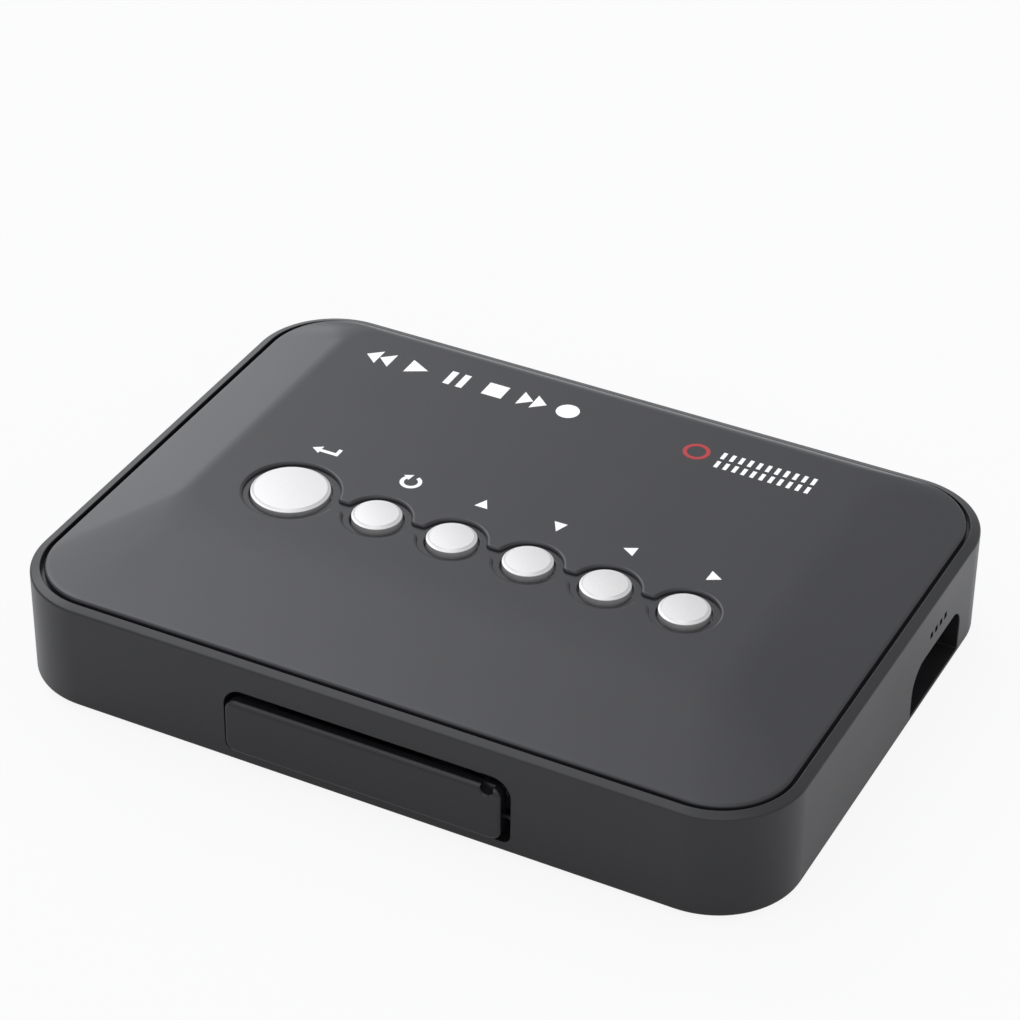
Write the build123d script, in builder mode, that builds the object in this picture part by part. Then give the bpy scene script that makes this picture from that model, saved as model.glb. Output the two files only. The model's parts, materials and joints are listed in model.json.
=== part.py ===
from build123d import *
import os

os.makedirs("parts", exist_ok=True)

# Every size is in millimetres. The origin is on the table, under the middle of the case.
# X runs to the right, Y to the back and Z up, and the front face looks along -Y.

# Case walls
case_width = 120.0
case_depth = 87.6
corner_radius = 12.9
wall_height = 16.75
wall = 2.0
wall_edge_round = 0.4
bottom_edge_round = 0.5

# Sloping rim round the top plate, and the ledge that the plate lies on
rim_width = 1.55
rim_rise = 0.55
groove = 0.55
ledge_width = 2.0
ledge_thickness = 1.2

# Top plate: a flat field with broad slopes on its four sides
plate_edge = 1.4
plate_proud = 0.1
plate_crown = 1.2
plate_edge_round = 0.5
field_left_margin = 7.3
field_right_margin = 6.78
field_front_margin = 5.5
slope_back = 2.2
field_radius = 4.0
plate_band = 5.0
plate_hollow = 0.5

# Buttons: one large and five small caps in a row
big_cap_radius = 5.9
small_cap_radius = 3.75
big_cap_x = -33.5
small_cap_x = -19.15
small_cap_pitch = 12.33
small_cap_count = 5
cap_row_y = -5.3
cap_proud = 0.5
cap_bevel = 0.5
cap_bevel_drop = 0.3
cap_dome = 0.2
cap_gap = 0.3
cap_travel = 0.5
flange_width = 0.9
flange_thickness = 0.7
flange_clearance = 0.2
stem_radius = 1.9

# Recess that joins the caps into a chain
recess_depth = 0.55
recess_border = 1.3
neck_width = 2.0
neck_round = 0.9
recess_edge_round = 0.5

# Bottom plate, feet and case screws
foot_proud = 1.0
foot_radius = 4.0
foot_seat = 0.6
foot_edge = 0.4
foot_inset_x = 18.0
foot_inset_y = 11.0
base_thickness = 1.6
base_gap = 0.15
stop_length = 8.0
stop_width = 1.2
stop_height = 1.5
stop_spread_x = 37.0
stop_spread_y = 20.0
screw_inset = 8.5
screw_boss_radius = 3.0
screw_boss_height = 3.4
screw_head_radius = 2.2
screw_head_height = 1.3
screw_radius = 1.1
screw_hole_gap = 0.2
screw_grip = 5.0
screw_head_sunk = 0.3
screw_drive_radius = 0.9
screw_drive_depth = 0.7
vent_count = 9
vent_pitch = 4.2
vent_length = 30.0
vent_width = 1.6

# Main board, which hangs its sockets from its lower face
board_height = 8.7
board_thickness = 1.6
board_gap = 2.4
board_front_gap = 0.3
board_corner_cut = 9.6
post_radius = 2.5
post_inset_x = 15.0
post_inset_y = 12.0
board_screw_radius = 1.0
board_screw_head = 1.9
board_screw_head_height = 1.2
board_screw_grip = 4.0

# Front flap and the opening that it closes
flap_width = 43.2
flap_height = 7.2
flap_lift = 3.8
flap_thickness = 1.8
flap_proud = 1.2
flap_corner = 1.6
flap_gap = 0.75
flap_top_round = 0.6
flap_toe_round = 1.5
flap_pivot_depth = 1.0
flap_pivot_rise = 1.7
flap_ear = 1.5
flap_ear_radius = 1.15
flap_pin_radius = 0.45
flap_pin_gap = 0.05
flap_pin_reach = 0.9
opening_corner = 2.5
opening_foot_corner = 1.0
nail_notch_radius = 0.75
nail_notch_inset = 2.2

# Port panel behind the flap
bay_depth = 3.9
bay_margin = 0.3
panel_wall = 1.2
panel_window_gap = 0.3

# Memory card socket
card_width = 24.0
card_thickness = 2.1
card_gap = 0.15
card_reach = 24.0
card_socket_x = -5.0
card_socket_length = 27.0
card_socket_side = 1.6
card_roof = 0.3
card_cover = 0.25
card_contact_count = 9
card_contact_pitch = 2.5
card_contact_width = 1.0
card_contact_length = 5.0
card_contact_thickness = 0.3

# Infrared receiver, status lamp and its light pipe
ir_inset = 7.6
ir_width = 5.4
ir_height = 4.6
ir_depth = 3.2
ir_lens_radius = 1.7
pipe_inset = 2.4
pipe_radius = 1.1
pipe_flange = 0.5
pipe_length = 2.6
lamp_width = 3.0
lamp_depth = 1.8
lamp_height = 2.4

# Notch in the right-hand wall with the host socket in its floor
notch_front = 8.6
notch_back = 27.2
notch_height = 8.8
notch_depth = 3.4
notch_floor = 1.2
notch_sill = 0.8
notch_front_round = 4.0
notch_back_round = 2.5
notch_scoop = 3.0
notch_board_gap = 0.5
usb_y = 17.9
usb_width = 13.1
usb_height = 5.7
usb_length = 14.0
usb_sheet = 0.3
usb_window_gap = 0.15
usb_tongue_width = 11.1
usb_tongue_thickness = 1.84
usb_tongue_length = 8.4
usb_tongue_rise = 0.7
usb_block = 3.6
usb_contact_count = 4
usb_contact_pitch = 2.3
usb_contact_width = 1.0
usb_contact_length = 7.0
usb_contact_thickness = 0.15

# Sockets in the back wall
video_x = -22.0
video_width = 15.0
video_height = 5.6
video_chamfer = 1.6
video_length = 11.5
video_sheet = 0.35
video_setback = 0.3
video_window_gap = 0.4
video_tongue_width = 11.6
video_tongue_thickness = 1.0
video_tongue_length = 6.5
video_block = 3.6
audio_x = 2.0
audio_width = 7.0
audio_height = 5.6
audio_length = 12.0
audio_nose_radius = 2.7
audio_bore_radius = 1.8
audio_bore_length = 14.0
audio_hole_gap = 0.2
audio_chamfer = 0.3
power_x = 22.0
power_width = 7.6
power_height = 5.8
power_length = 11.0
power_bore_radius = 2.2
power_bore_length = 9.0
power_pin_radius = 0.8
power_pin_setback = 0.8
power_window_gap = 0.5

# Parts on the upper face of the board
processor_side = 16.0
processor_height = 1.4
processor_x = 10.0
processor_inset_y = 19.5
pad_height = 0.5
sink_side = 22.0
sink_base = 1.5
sink_fin_count = 8
sink_fin_thickness = 0.8
sink_height = 4.6
memory_length = 12.0
memory_width = 9.0
memory_height = 1.1
memory_x = -14.0
memory_pitch = 12.0
flash_length = 18.4
flash_width = 12.0
flash_height = 1.1
flash_inset_x = 17.6
flash_inset_y = 21.5
hub_side = 9.0
hub_height = 1.2
hub_inset_x = 19.6
hub_inset_y = 29.5
crystal_length = 11.0
crystal_width = 4.6
crystal_height = 3.5
crystal_inset_x = 19.6
crystal_inset_y = 15.5
capacitor_radius = 3.15
capacitor_height = 5.4
capacitor_pitch = 9.0
capacitor_x = -20.0
capacitor_inset_y = 12.4
capacitor_count = 3
coil_side = 7.0
coil_height = 3.0
coil_gap = 5.25
coil_pitch = 10.0
coil_count = 3
regulator_width = 6.5
regulator_depth = 3.5
regulator_height = 1.7
regulator_inset_x = 19.6
regulator_inset_y = 8.4
regulator_pitch = 9.0
regulator_count = 2
chip_edge = 0.2

# How close an edge, face or corner lies to the place where it is looked for
near = 0.01

# Push switches under the caps
switch_side = 6.2
switch_height = 3.5
switch_edge = 0.3
plunger_radius = 1.75
plunger_gap = 0.15
plunger_sunk = 0.8

# Heights and outlines worked out from the sizes above
half_width = case_width / 2
half_depth = case_depth / 2
base_z = foot_proud
wall_top_z = base_z + wall_height
lip_z = wall_top_z + rim_rise
edge_z = lip_z + plate_proud
ledge_z = edge_z - plate_edge
top_z = edge_z + plate_crown
under_z = ledge_z + plate_hollow
recess_z = top_z - recess_depth
last_cap_x = small_cap_x + (small_cap_count - 1) * small_cap_pitch
field_left_x = big_cap_x - big_cap_radius - recess_border - field_left_margin
field_right_x = last_cap_x + small_cap_radius + recess_border + field_right_margin
field_front_y = cap_row_y - big_cap_radius - recess_border - field_front_margin
floor_z = base_z + base_thickness
board_z = board_height
board_top_z = board_z + board_thickness
ledge_inset = rim_width + ledge_width
plate_inset = rim_width + groove
plate_width = case_width - 2 * plate_inset
plate_depth = case_depth - 2 * plate_inset
plate_radius = corner_radius - plate_inset
field_back_y = half_depth - plate_inset - slope_back
inside_width = case_width - 2 * wall
inside_depth = case_depth - 2 * wall
inside_radius = corner_radius - wall
screw_x = half_width - screw_inset
screw_y = half_depth - screw_inset
post_x = half_width - post_inset_x
post_y = half_depth - post_inset_y
flange_top_z = under_z - flange_clearance
flange_bottom_z = flange_top_z - flange_thickness
switch_top_z = board_top_z + switch_height
stem_bottom_z = flange_bottom_z - flange_clearance
pivot_y = -half_depth + flap_pivot_depth
flap_bottom_z = base_z + flap_lift
flap_middle_z = flap_bottom_z + flap_height / 2
pivot_z = flap_bottom_z + flap_pivot_rise
opening_width = flap_width + 2 * flap_gap
opening_height = flap_height + 2 * flap_gap
panel_face_y = -half_depth + wall + bay_depth
panel_back_y = panel_face_y + panel_wall
board_front_y = panel_back_y + board_front_gap
board_back_y = half_depth - wall - board_front_gap
board_side_x = half_width - wall - board_gap
notch_floor_x = half_width - notch_depth
notch_block_x = notch_floor_x - notch_floor
notch_top_z = base_z + notch_height
notch_sill_z = base_z + notch_sill
usb_middle_z = board_z - usb_height / 2
video_middle_z = board_z - video_height / 2
audio_middle_z = board_z - audio_height / 2
power_middle_z = board_z - power_height / 2
card_socket_width = card_width + 2 * card_gap + 2 * card_socket_side
card_slot_height = card_thickness + 2 * card_gap
card_socket_height = card_cover + card_slot_height + card_roof
card_bottom_z = board_z - card_socket_height
wall_front_y = -half_depth + wall
screw_tip_z = floor_z + screw_boss_height + screw_grip
foot_x = half_width - foot_inset_x
foot_y = half_depth - foot_inset_y
panel_width = opening_width + 2 * (bay_margin + panel_wall)
panel_height = opening_height + 2 * (bay_margin + panel_wall)
card_slot_z = card_bottom_z + card_cover + card_slot_height / 2
card_socket_front_y = panel_back_y
card_socket_y = card_socket_front_y + card_socket_length / 2
ir_x = flap_width / 2 - ir_inset
pipe_x = flap_width / 2 - pipe_inset
ir_middle_z = board_z - ir_height / 2
ir_front_y = panel_back_y + board_front_gap
wall_inner_y = half_depth - wall
usb_block_x = notch_floor_x - usb_length + usb_sheet + usb_block
usb_tongue_z = usb_middle_z + usb_tongue_rise
video_mouth_y = half_depth - video_setback
video_block_y = video_mouth_y - video_length + video_sheet + video_block
audio_nose_y = half_depth + flap_proud
processor_y = board_back_y - processor_inset_y
flash_x = -board_side_x + flash_inset_x
flash_y = board_back_y - flash_inset_y
hub_x = board_side_x - hub_inset_x
hub_y = board_back_y - hub_inset_y
crystal_x = board_side_x - crystal_inset_x
crystal_y = board_back_y - crystal_inset_y
capacitor_y = board_front_y + capacitor_inset_y
regulator_x = board_side_x - regulator_inset_x
regulator_y = board_front_y + regulator_inset_y
coil_x = regulator_x - (regulator_width + coil_side) / 2 - coil_gap - coil_pitch * (coil_count - 1) / 2
sink_z = board_top_z + processor_height + pad_height

caps = [("return", big_cap_x, big_cap_radius)]
for index, name in enumerate(["repeat", "up", "down", "left", "right"][:small_cap_count]):
    caps.append((name, small_cap_x + index * small_cap_pitch, small_cap_radius))

side_stop_x = (inside_width - stop_width) / 2
side_stop_spots = [
    (-side_stop_x, -stop_spread_y),
    (-side_stop_x, stop_spread_y),
    (side_stop_x, -stop_spread_y),
]
end_stop_y = (inside_depth - stop_width) / 2
end_stop_spots = [(x, y) for x in (-stop_spread_x, stop_spread_x) for y in (-end_stop_y, end_stop_y)]
foot_spots = [(x, y) for x in (-foot_x, foot_x) for y in (-foot_y, foot_y)]
case_screw_spots = [(x, y) for x in (-screw_x, screw_x) for y in (-screw_y, screw_y)]
post_spots = [(x, y) for x in (-post_x, post_x) for y in (-post_y, post_y)]

# Hollow of the side notch: over a thin sill, rounded at its two upper corners, scooped out towards the front
with BuildPart() as notch_hollow:
    with BuildSketch(Plane.YZ.offset(notch_floor_x)) as notch_outline:
        with BuildLine():
            Polyline(
                (notch_front, notch_sill_z),
                (notch_front, notch_top_z),
                (notch_back, notch_top_z),
                (notch_back, notch_sill_z),
                close=True,
            )
        make_face()
        front_corner = notch_outline.vertices().group_by(Axis.Y)[-1].sort_by(Axis.X)[0]
        fillet(front_corner, notch_front_round)
        back_corner = notch_outline.vertices().group_by(Axis.Y)[-1].sort_by(Axis.X)[-1]
        fillet(back_corner, notch_back_round)
    extrude(amount=notch_depth + wall)
    scoop = notch_hollow.faces().filter_by(Plane.XZ).sort_by(Axis.Y)[0].edges().sort_by(Axis.X)[0]
    fillet(scoop, notch_scoop)

# Main shell: the ring of walls with its sloping rim, its ledge and its openings
with BuildPart() as main_shell:
    with BuildSketch(Plane.XY.offset(base_z)):
        RectangleRounded(case_width, case_depth, corner_radius)
    extrude(amount=wall_height)
    with BuildSketch(Plane.XY.offset(wall_top_z)):
        RectangleRounded(case_width, case_depth, corner_radius)
    with BuildSketch(Plane.XY.offset(lip_z)):
        RectangleRounded(case_width - 2 * rim_width, case_depth - 2 * rim_width, corner_radius - rim_width)
    loft(ruled=True)
    wall_top_edges = main_shell.edges().filter_by_position(Axis.Z, wall_top_z - near, wall_top_z + near)
    fillet(wall_top_edges, wall_edge_round)
    fillet(main_shell.edges().group_by(Axis.Z)[0], bottom_edge_round)
    with BuildSketch(Plane.XY.offset(base_z)):
        RectangleRounded(inside_width, inside_depth, inside_radius)
    extrude(amount=ledge_z - ledge_thickness - base_z, mode=Mode.SUBTRACT)
    with BuildSketch(Plane.XY.offset(ledge_z - ledge_thickness)):
        RectangleRounded(
            case_width - 2 * ledge_inset,
            case_depth - 2 * ledge_inset,
            corner_radius - ledge_inset,
        )
    extrude(amount=ledge_thickness, mode=Mode.SUBTRACT)
    with BuildSketch(Plane.XY.offset(ledge_z)):
        RectangleRounded(case_width - 2 * rim_width, case_depth - 2 * rim_width, corner_radius - rim_width)
    extrude(amount=lip_z - ledge_z, mode=Mode.SUBTRACT)
    # Flap opening, and the holes for its two pins in the ends of the opening
    with BuildSketch(Plane.XZ.offset(half_depth)) as flap_opening:
        with Locations((0, flap_middle_z)):
            Rectangle(opening_width, opening_height)
        fillet(flap_opening.vertices().group_by(Axis.Y)[-1], opening_corner)
        fillet(flap_opening.vertices().group_by(Axis.Y)[0], opening_foot_corner)
    extrude(amount=-wall, mode=Mode.SUBTRACT)
    with BuildSketch(Plane.YZ.offset(-opening_width / 2 - flap_pin_reach - flap_pin_gap)):
        with Locations((pivot_y, pivot_z)):
            Circle(flap_pin_radius + flap_pin_gap)
    extrude(amount=opening_width + 2 * (flap_pin_reach + flap_pin_gap), mode=Mode.SUBTRACT)
    # Side notch: a thicker block behind the wall, the hollow, and the window for the host socket
    with BuildSketch(Plane.XY.offset(base_z)):
        with Locations(((notch_block_x + half_width - wall) / 2, (notch_front + notch_back) / 2)):
            Rectangle(half_width - wall - notch_block_x, notch_back - notch_front + 2 * notch_floor)
    extrude(amount=notch_height + notch_floor)
    add(notch_hollow.part, mode=Mode.SUBTRACT)
    with BuildSketch(Plane.YZ.offset(notch_block_x)):
        with Locations((usb_y, usb_middle_z)):
            Rectangle(usb_width + 2 * usb_window_gap, usb_height + 2 * usb_window_gap)
    extrude(amount=notch_floor, mode=Mode.SUBTRACT)
    # Windows in the back wall for the video, audio and power sockets
    with BuildSketch(Plane.XZ.offset(-half_depth)) as back_windows:
        with Locations((video_x, video_middle_z)):
            Rectangle(video_width + 2 * video_window_gap, video_height + 2 * video_window_gap)
        chamfer(back_windows.vertices().group_by(Axis.Y)[0], video_chamfer)
        with Locations((audio_x, audio_middle_z)):
            Circle(audio_nose_radius + audio_hole_gap)
        with Locations((power_x, power_middle_z)):
            Circle(power_bore_radius + power_window_gap)
    extrude(amount=wall, mode=Mode.SUBTRACT)
    # Small stops inside the walls that the bottom plate comes up against
    with BuildSketch(Plane.XY.offset(floor_z)):
        with Locations(*side_stop_spots):
            Rectangle(stop_width, stop_length)
        with Locations(*end_stop_spots):
            Rectangle(stop_length, stop_width)
    extrude(amount=stop_height)
main_shell.part.label = "main_shell"
export_step(main_shell.part, "parts/main_shell.step")

# Top plate: a slab that lies on the ledge, crowned by four slopes that meet the flat field
with BuildPart() as top_plate:
    with BuildSketch(Plane.XY.offset(ledge_z)):
        RectangleRounded(plate_width, plate_depth, plate_radius)
    extrude(amount=plate_edge)
    with BuildSketch(Plane.XY.offset(edge_z)):
        RectangleRounded(plate_width, plate_depth, plate_radius)
    with BuildSketch(Plane.XY.offset(top_z)):
        with Locations(((field_left_x + field_right_x) / 2, (field_front_y + field_back_y) / 2)):
            RectangleRounded(field_right_x - field_left_x, field_back_y - field_front_y, field_radius)
    loft(ruled=True)
    plate_top_edges = top_plate.edges().filter_by_position(Axis.Z, edge_z - near, edge_z + near)
    fillet(plate_top_edges, plate_edge_round)
    with BuildSketch(Plane.XY.offset(ledge_z)):
        RectangleRounded(
            plate_width - 2 * plate_band,
            plate_depth - 2 * plate_band,
            plate_radius - plate_band,
        )
    extrude(amount=plate_hollow, mode=Mode.SUBTRACT)
    # Chain-shaped recess round the caps: discs joined by necks, with the inner corners rounded
    with BuildSketch(Plane.XY.offset(recess_z)) as chain:
        for _, cap_x, cap_radius in caps:
            with Locations((cap_x, cap_row_y)):
                Circle(cap_radius + recess_border)
        with Locations(((big_cap_x + last_cap_x) / 2, cap_row_y)):
            Rectangle(last_cap_x - big_cap_x, neck_width)
        neck_corners = chain.vertices().filter_by(lambda v: abs(abs(v.Y - cap_row_y) - neck_width / 2) < near)
        fillet(neck_corners, neck_round)
    extrude(amount=top_z - recess_z, mode=Mode.SUBTRACT)
    recess_rim = (
        top_plate.faces()
        .filter_by_position(Axis.Z, top_z - near, top_z + near)[0]
        .inner_wires()
        .edges()
    )
    fillet(recess_rim, recess_edge_round)
    with BuildSketch(Plane.XY.offset(under_z)):
        for _, cap_x, cap_radius in caps:
            with Locations((cap_x, cap_row_y)):
                Circle(cap_radius + cap_gap)
    extrude(amount=recess_z - under_z, mode=Mode.SUBTRACT)
    # Corner bosses that the case screws bite into
    with BuildSketch(Plane.XY.offset(floor_z + screw_boss_height)):
        with Locations(*case_screw_spots):
            Circle(screw_boss_radius)
    extrude(amount=under_z - floor_z - screw_boss_height)
    with BuildSketch(Plane.XY.offset(floor_z + screw_boss_height)):
        with Locations(*case_screw_spots):
            Circle(screw_radius)
    extrude(amount=screw_grip + screw_hole_gap, mode=Mode.SUBTRACT)
top_plate.part.label = "top_plate"
export_step(top_plate.part, "parts/top_plate.step")

# Bottom plate: flat, with seats for the feet, screw bosses, board posts and vents
with BuildPart() as base_plate:
    with BuildSketch(Plane.XY.offset(base_z)):
        RectangleRounded(
            inside_width - 2 * base_gap,
            inside_depth - 2 * base_gap,
            inside_radius - base_gap,
        )
        with Locations((half_width, (notch_front + notch_back) / 2)):
            Rectangle(
                2 * (half_width - notch_block_x + base_gap),
                notch_back - notch_front + 2 * (notch_floor + base_gap),
                mode=Mode.SUBTRACT,
            )
    extrude(amount=base_thickness)
    with BuildSketch(Plane.XY.offset(floor_z)):
        with Locations(*case_screw_spots):
            Circle(screw_boss_radius)
    extrude(amount=screw_boss_height)
    with BuildSketch(Plane.XY.offset(floor_z)):
        with Locations(*post_spots):
            Circle(post_radius)
    extrude(amount=board_z - floor_z)
    with BuildSketch(Plane.XY.offset(base_z)):
        with Locations(*case_screw_spots):
            Circle(screw_radius + screw_hole_gap)
    extrude(amount=base_thickness + screw_boss_height, mode=Mode.SUBTRACT)
    with BuildSketch(Plane.XY.offset(base_z)):
        with Locations(*case_screw_spots):
            Circle(screw_head_radius + screw_hole_gap)
    extrude(amount=screw_head_height + screw_head_sunk, mode=Mode.SUBTRACT)
    with BuildSketch(Plane.XY.offset(board_z)):
        with Locations(*post_spots):
            Circle(board_screw_radius)
    extrude(amount=-board_screw_grip - screw_hole_gap, mode=Mode.SUBTRACT)
    with BuildSketch(Plane.XY.offset(base_z)):
        with Locations(*foot_spots):
            Circle(foot_radius + screw_hole_gap)
    extrude(amount=foot_seat, mode=Mode.SUBTRACT)
    with BuildSketch(Plane.XY.offset(base_z)):
        with GridLocations(vent_pitch, 0, vent_count, 1):
            SlotOverall(vent_length, vent_width, rotation=90)
    extrude(amount=base_thickness, mode=Mode.SUBTRACT)
base_plate.part.label = "base_plate"
export_step(base_plate.part, "parts/base_plate.step")

# Rubber feet in their seats under the bottom plate
for corner, spot in zip(("front_left", "back_left", "front_right", "back_right"), foot_spots):
    with BuildPart() as foot:
        with BuildSketch(Plane.XY):
            with Locations(spot):
                Circle(foot_radius)
        extrude(amount=foot_proud + foot_seat)
        chamfer(foot.edges().group_by(Axis.Z)[0], foot_edge)
    foot.part.label = f"rubber_foot_{corner}"
    export_step(foot.part, f"parts/rubber_foot_{corner}.step")

# Case screws: from below, through the bottom plate into the bosses of the top plate
with BuildPart() as case_screws:
    with BuildSketch(Plane.XY.offset(base_z + screw_head_sunk)):
        with Locations(*case_screw_spots):
            Circle(screw_head_radius)
    extrude(amount=screw_head_height)
    with BuildSketch(Plane.XY.offset(base_z + screw_head_sunk + screw_head_height)):
        with Locations(*case_screw_spots):
            Circle(screw_radius)
    extrude(amount=screw_tip_z - base_z - screw_head_sunk - screw_head_height)
    with BuildSketch(Plane.XY.offset(base_z + screw_head_sunk)):
        with Locations(*case_screw_spots):
            RegularPolygon(screw_drive_radius, 6)
    extrude(amount=screw_drive_depth, mode=Mode.SUBTRACT)
case_screws.part.label = "case_screws"
export_step(case_screws.part, "parts/case_screws.step")

# Front flap: a side profile with a rounded toe, cut to its front outline, with ears and pins
with BuildPart() as front_flap:
    with BuildSketch(Plane.YZ.offset(-flap_width / 2)) as flap_side:
        with Locations((-half_depth - flap_proud + flap_thickness / 2, flap_middle_z)):
            Rectangle(flap_thickness, flap_height)
        toe = flap_side.vertices().group_by(Axis.X)[0].sort_by(Axis.Y)[0]
        fillet(toe, flap_toe_round)
        brow = flap_side.vertices().group_by(Axis.X)[0].sort_by(Axis.Y)[-1]
        fillet(brow, flap_top_round)
    extrude(amount=flap_width)
    with BuildSketch(Plane.XZ.offset(half_depth + flap_proud)):
        with Locations((0, flap_middle_z)):
            RectangleRounded(flap_width, flap_height, flap_corner)
    extrude(amount=-flap_thickness, mode=Mode.INTERSECT)
    for side in (-1, 1):
        with BuildSketch(Plane.YZ.offset(side * (flap_width - flap_ear) / 2 - flap_ear / 2)):
            with Locations((pivot_y, pivot_z)):
                Circle(flap_ear_radius)
        extrude(amount=flap_ear)
    for side in (-1, 1):
        with BuildSketch(Plane.YZ.offset(side * flap_width / 2)):
            with Locations((pivot_y, pivot_z)):
                Circle(flap_pin_radius)
        extrude(amount=side * (flap_gap + flap_pin_reach))
    with BuildSketch(Plane.XZ.offset(half_depth + flap_proud)):
        with Locations((flap_width / 2 - nail_notch_inset, flap_bottom_z + flap_height)):
            Circle(nail_notch_radius)
    extrude(amount=-flap_proud, mode=Mode.SUBTRACT)
front_flap.part.label = "front_flap"
export_step(front_flap.part, "parts/front_flap.step")

# Port panel: an open tray behind the flap, with a window for each thing behind it
with BuildPart() as port_panel:
    with BuildSketch(Plane.XZ.offset(-wall_front_y)):
        with Locations((0, flap_middle_z)):
            RectangleRounded(panel_width, panel_height, opening_corner + bay_margin + panel_wall)
    extrude(amount=-(panel_back_y - wall_front_y))
    with BuildSketch(Plane.XZ.offset(-wall_front_y)):
        with Locations((0, flap_middle_z)):
            RectangleRounded(
                opening_width + 2 * bay_margin,
                opening_height + 2 * bay_margin,
                opening_corner + bay_margin,
            )
    extrude(amount=-bay_depth, mode=Mode.SUBTRACT)
    split(bisect_by=Plane.XY.offset(floor_z), keep=Keep.TOP)
    with BuildSketch(Plane.XZ.offset(-panel_face_y)):
        with Locations((card_socket_x, card_slot_z)):
            SlotOverall(card_width + 2 * panel_window_gap, card_slot_height)
        with Locations((ir_x, ir_middle_z)):
            Circle(ir_lens_radius + panel_window_gap)
        with Locations((pipe_x, ir_middle_z)):
            Circle(pipe_radius)
    extrude(amount=-panel_wall, mode=Mode.SUBTRACT)
port_panel.part.label = "port_panel"
export_step(port_panel.part, "parts/port_panel.step")

# Main board: held on the posts, cut away at the case bosses and beside the side notch
with BuildPart() as main_board:
    with BuildSketch(Plane.XY.offset(board_z)):
        with Locations((0, (board_front_y + board_back_y) / 2)):
            Rectangle(2 * board_side_x, board_back_y - board_front_y)
        with Locations(*case_screw_spots):
            Rectangle(2 * board_corner_cut, 2 * board_corner_cut, mode=Mode.SUBTRACT)
        with Locations((half_width, (notch_front + notch_back) / 2)):
            Rectangle(
                2 * (half_width - notch_block_x + notch_board_gap),
                notch_back - notch_front + 2 * (notch_floor + notch_board_gap),
                mode=Mode.SUBTRACT,
            )
        with Locations(*post_spots):
            Circle(board_screw_radius + screw_hole_gap, mode=Mode.SUBTRACT)
    extrude(amount=board_thickness)
main_board.part.label = "main_board"
export_step(main_board.part, "parts/main_board.step")

# Board screws, from above into the posts
with BuildPart() as board_screws:
    with BuildSketch(Plane.XY.offset(board_top_z)):
        with Locations(*post_spots):
            Circle(board_screw_head)
    extrude(amount=board_screw_head_height)
    fillet(board_screws.edges().group_by(Axis.Z)[-1], board_screw_head_height / 2)
    with BuildSketch(Plane.XY.offset(board_top_z)):
        with Locations(*post_spots):
            Circle(board_screw_radius)
    extrude(amount=-board_thickness - board_screw_grip)
board_screws.part.label = "board_screws"
export_step(board_screws.part, "parts/board_screws.step")

# Memory card socket under the board: a frame with a slot, its spring contacts and a metal cover
with BuildPart() as card_socket_base:
    with BuildSketch(Plane.XY.offset(card_bottom_z + card_cover)):
        with Locations((card_socket_x, card_socket_y)):
            Rectangle(card_socket_width, card_socket_length)
    extrude(amount=card_socket_height - card_cover)
    with BuildSketch(Plane.XZ.offset(-card_socket_front_y)):
        with Locations((card_socket_x, card_slot_z)):
            Rectangle(card_width + 2 * card_gap, card_slot_height)
    extrude(amount=-card_reach, mode=Mode.SUBTRACT)
card_socket_base.part.label = "card_socket_base"
export_step(card_socket_base.part, "parts/card_socket_base.step")

with BuildPart() as card_socket_cover:
    with BuildSketch(Plane.XY.offset(card_bottom_z)):
        with Locations((card_socket_x, card_socket_y)):
            Rectangle(card_socket_width + 2 * card_cover, card_socket_length)
    extrude(amount=card_socket_height)
    with BuildSketch(Plane.XY.offset(card_bottom_z + card_cover)):
        with Locations((card_socket_x, card_socket_y)):
            Rectangle(card_socket_width, card_socket_length)
    extrude(amount=card_socket_height - card_cover, mode=Mode.SUBTRACT)
card_socket_cover.part.label = "card_socket_cover"
export_step(card_socket_cover.part, "parts/card_socket_cover.step")

with BuildPart() as card_contacts:
    with BuildSketch(Plane.XY.offset(card_bottom_z + card_cover + card_slot_height)):
        with Locations((card_socket_x, card_socket_front_y + card_reach - card_contact_length / 2)):
            with GridLocations(card_contact_pitch, 0, card_contact_count, 1):
                Rectangle(card_contact_width, card_contact_length)
    extrude(amount=-card_contact_thickness)
card_contacts.part.label = "card_contacts"
export_step(card_contacts.part, "parts/card_contacts.step")

# Infrared receiver under the board, with its lens looking out through the port panel
with BuildPart() as ir_receiver:
    with BuildSketch(Plane.XY.offset(board_z)):
        with Locations((ir_x, ir_front_y + ir_depth / 2)):
            Rectangle(ir_width, ir_depth)
    extrude(amount=-ir_height)
    with BuildSketch(Plane.XY.offset(ir_middle_z)):
        with BuildLine():
            lens_back = (ir_x, ir_front_y)
            lens_side = (ir_x + ir_lens_radius, ir_front_y)
            lens_shoulder = (ir_x + ir_lens_radius, panel_back_y)
            lens_tip = (ir_x, panel_face_y)
            Polyline(lens_tip, lens_back, lens_side, lens_shoulder)
            TangentArc(lens_tip, lens_shoulder, tangent=(1, 0))
        make_face()
    revolve(axis=Axis((ir_x, ir_front_y, ir_middle_z), (0, 1, 0)))
ir_receiver.part.label = "ir_receiver"
export_step(ir_receiver.part, "parts/ir_receiver.step")

# Light pipe in the port panel and the status lamp behind it
with BuildPart() as light_pipe:
    with BuildSketch(Plane.XZ.offset(-panel_face_y)):
        with Locations((pipe_x, ir_middle_z)):
            Circle(pipe_radius)
    extrude(amount=-pipe_length)
    with BuildSketch(Plane.XZ.offset(-panel_back_y)):
        with Locations((pipe_x, ir_middle_z)):
            Circle(pipe_radius + pipe_flange)
    extrude(amount=-(panel_face_y + pipe_length - panel_back_y))
light_pipe.part.label = "light_pipe"
export_step(light_pipe.part, "parts/light_pipe.step")

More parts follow.
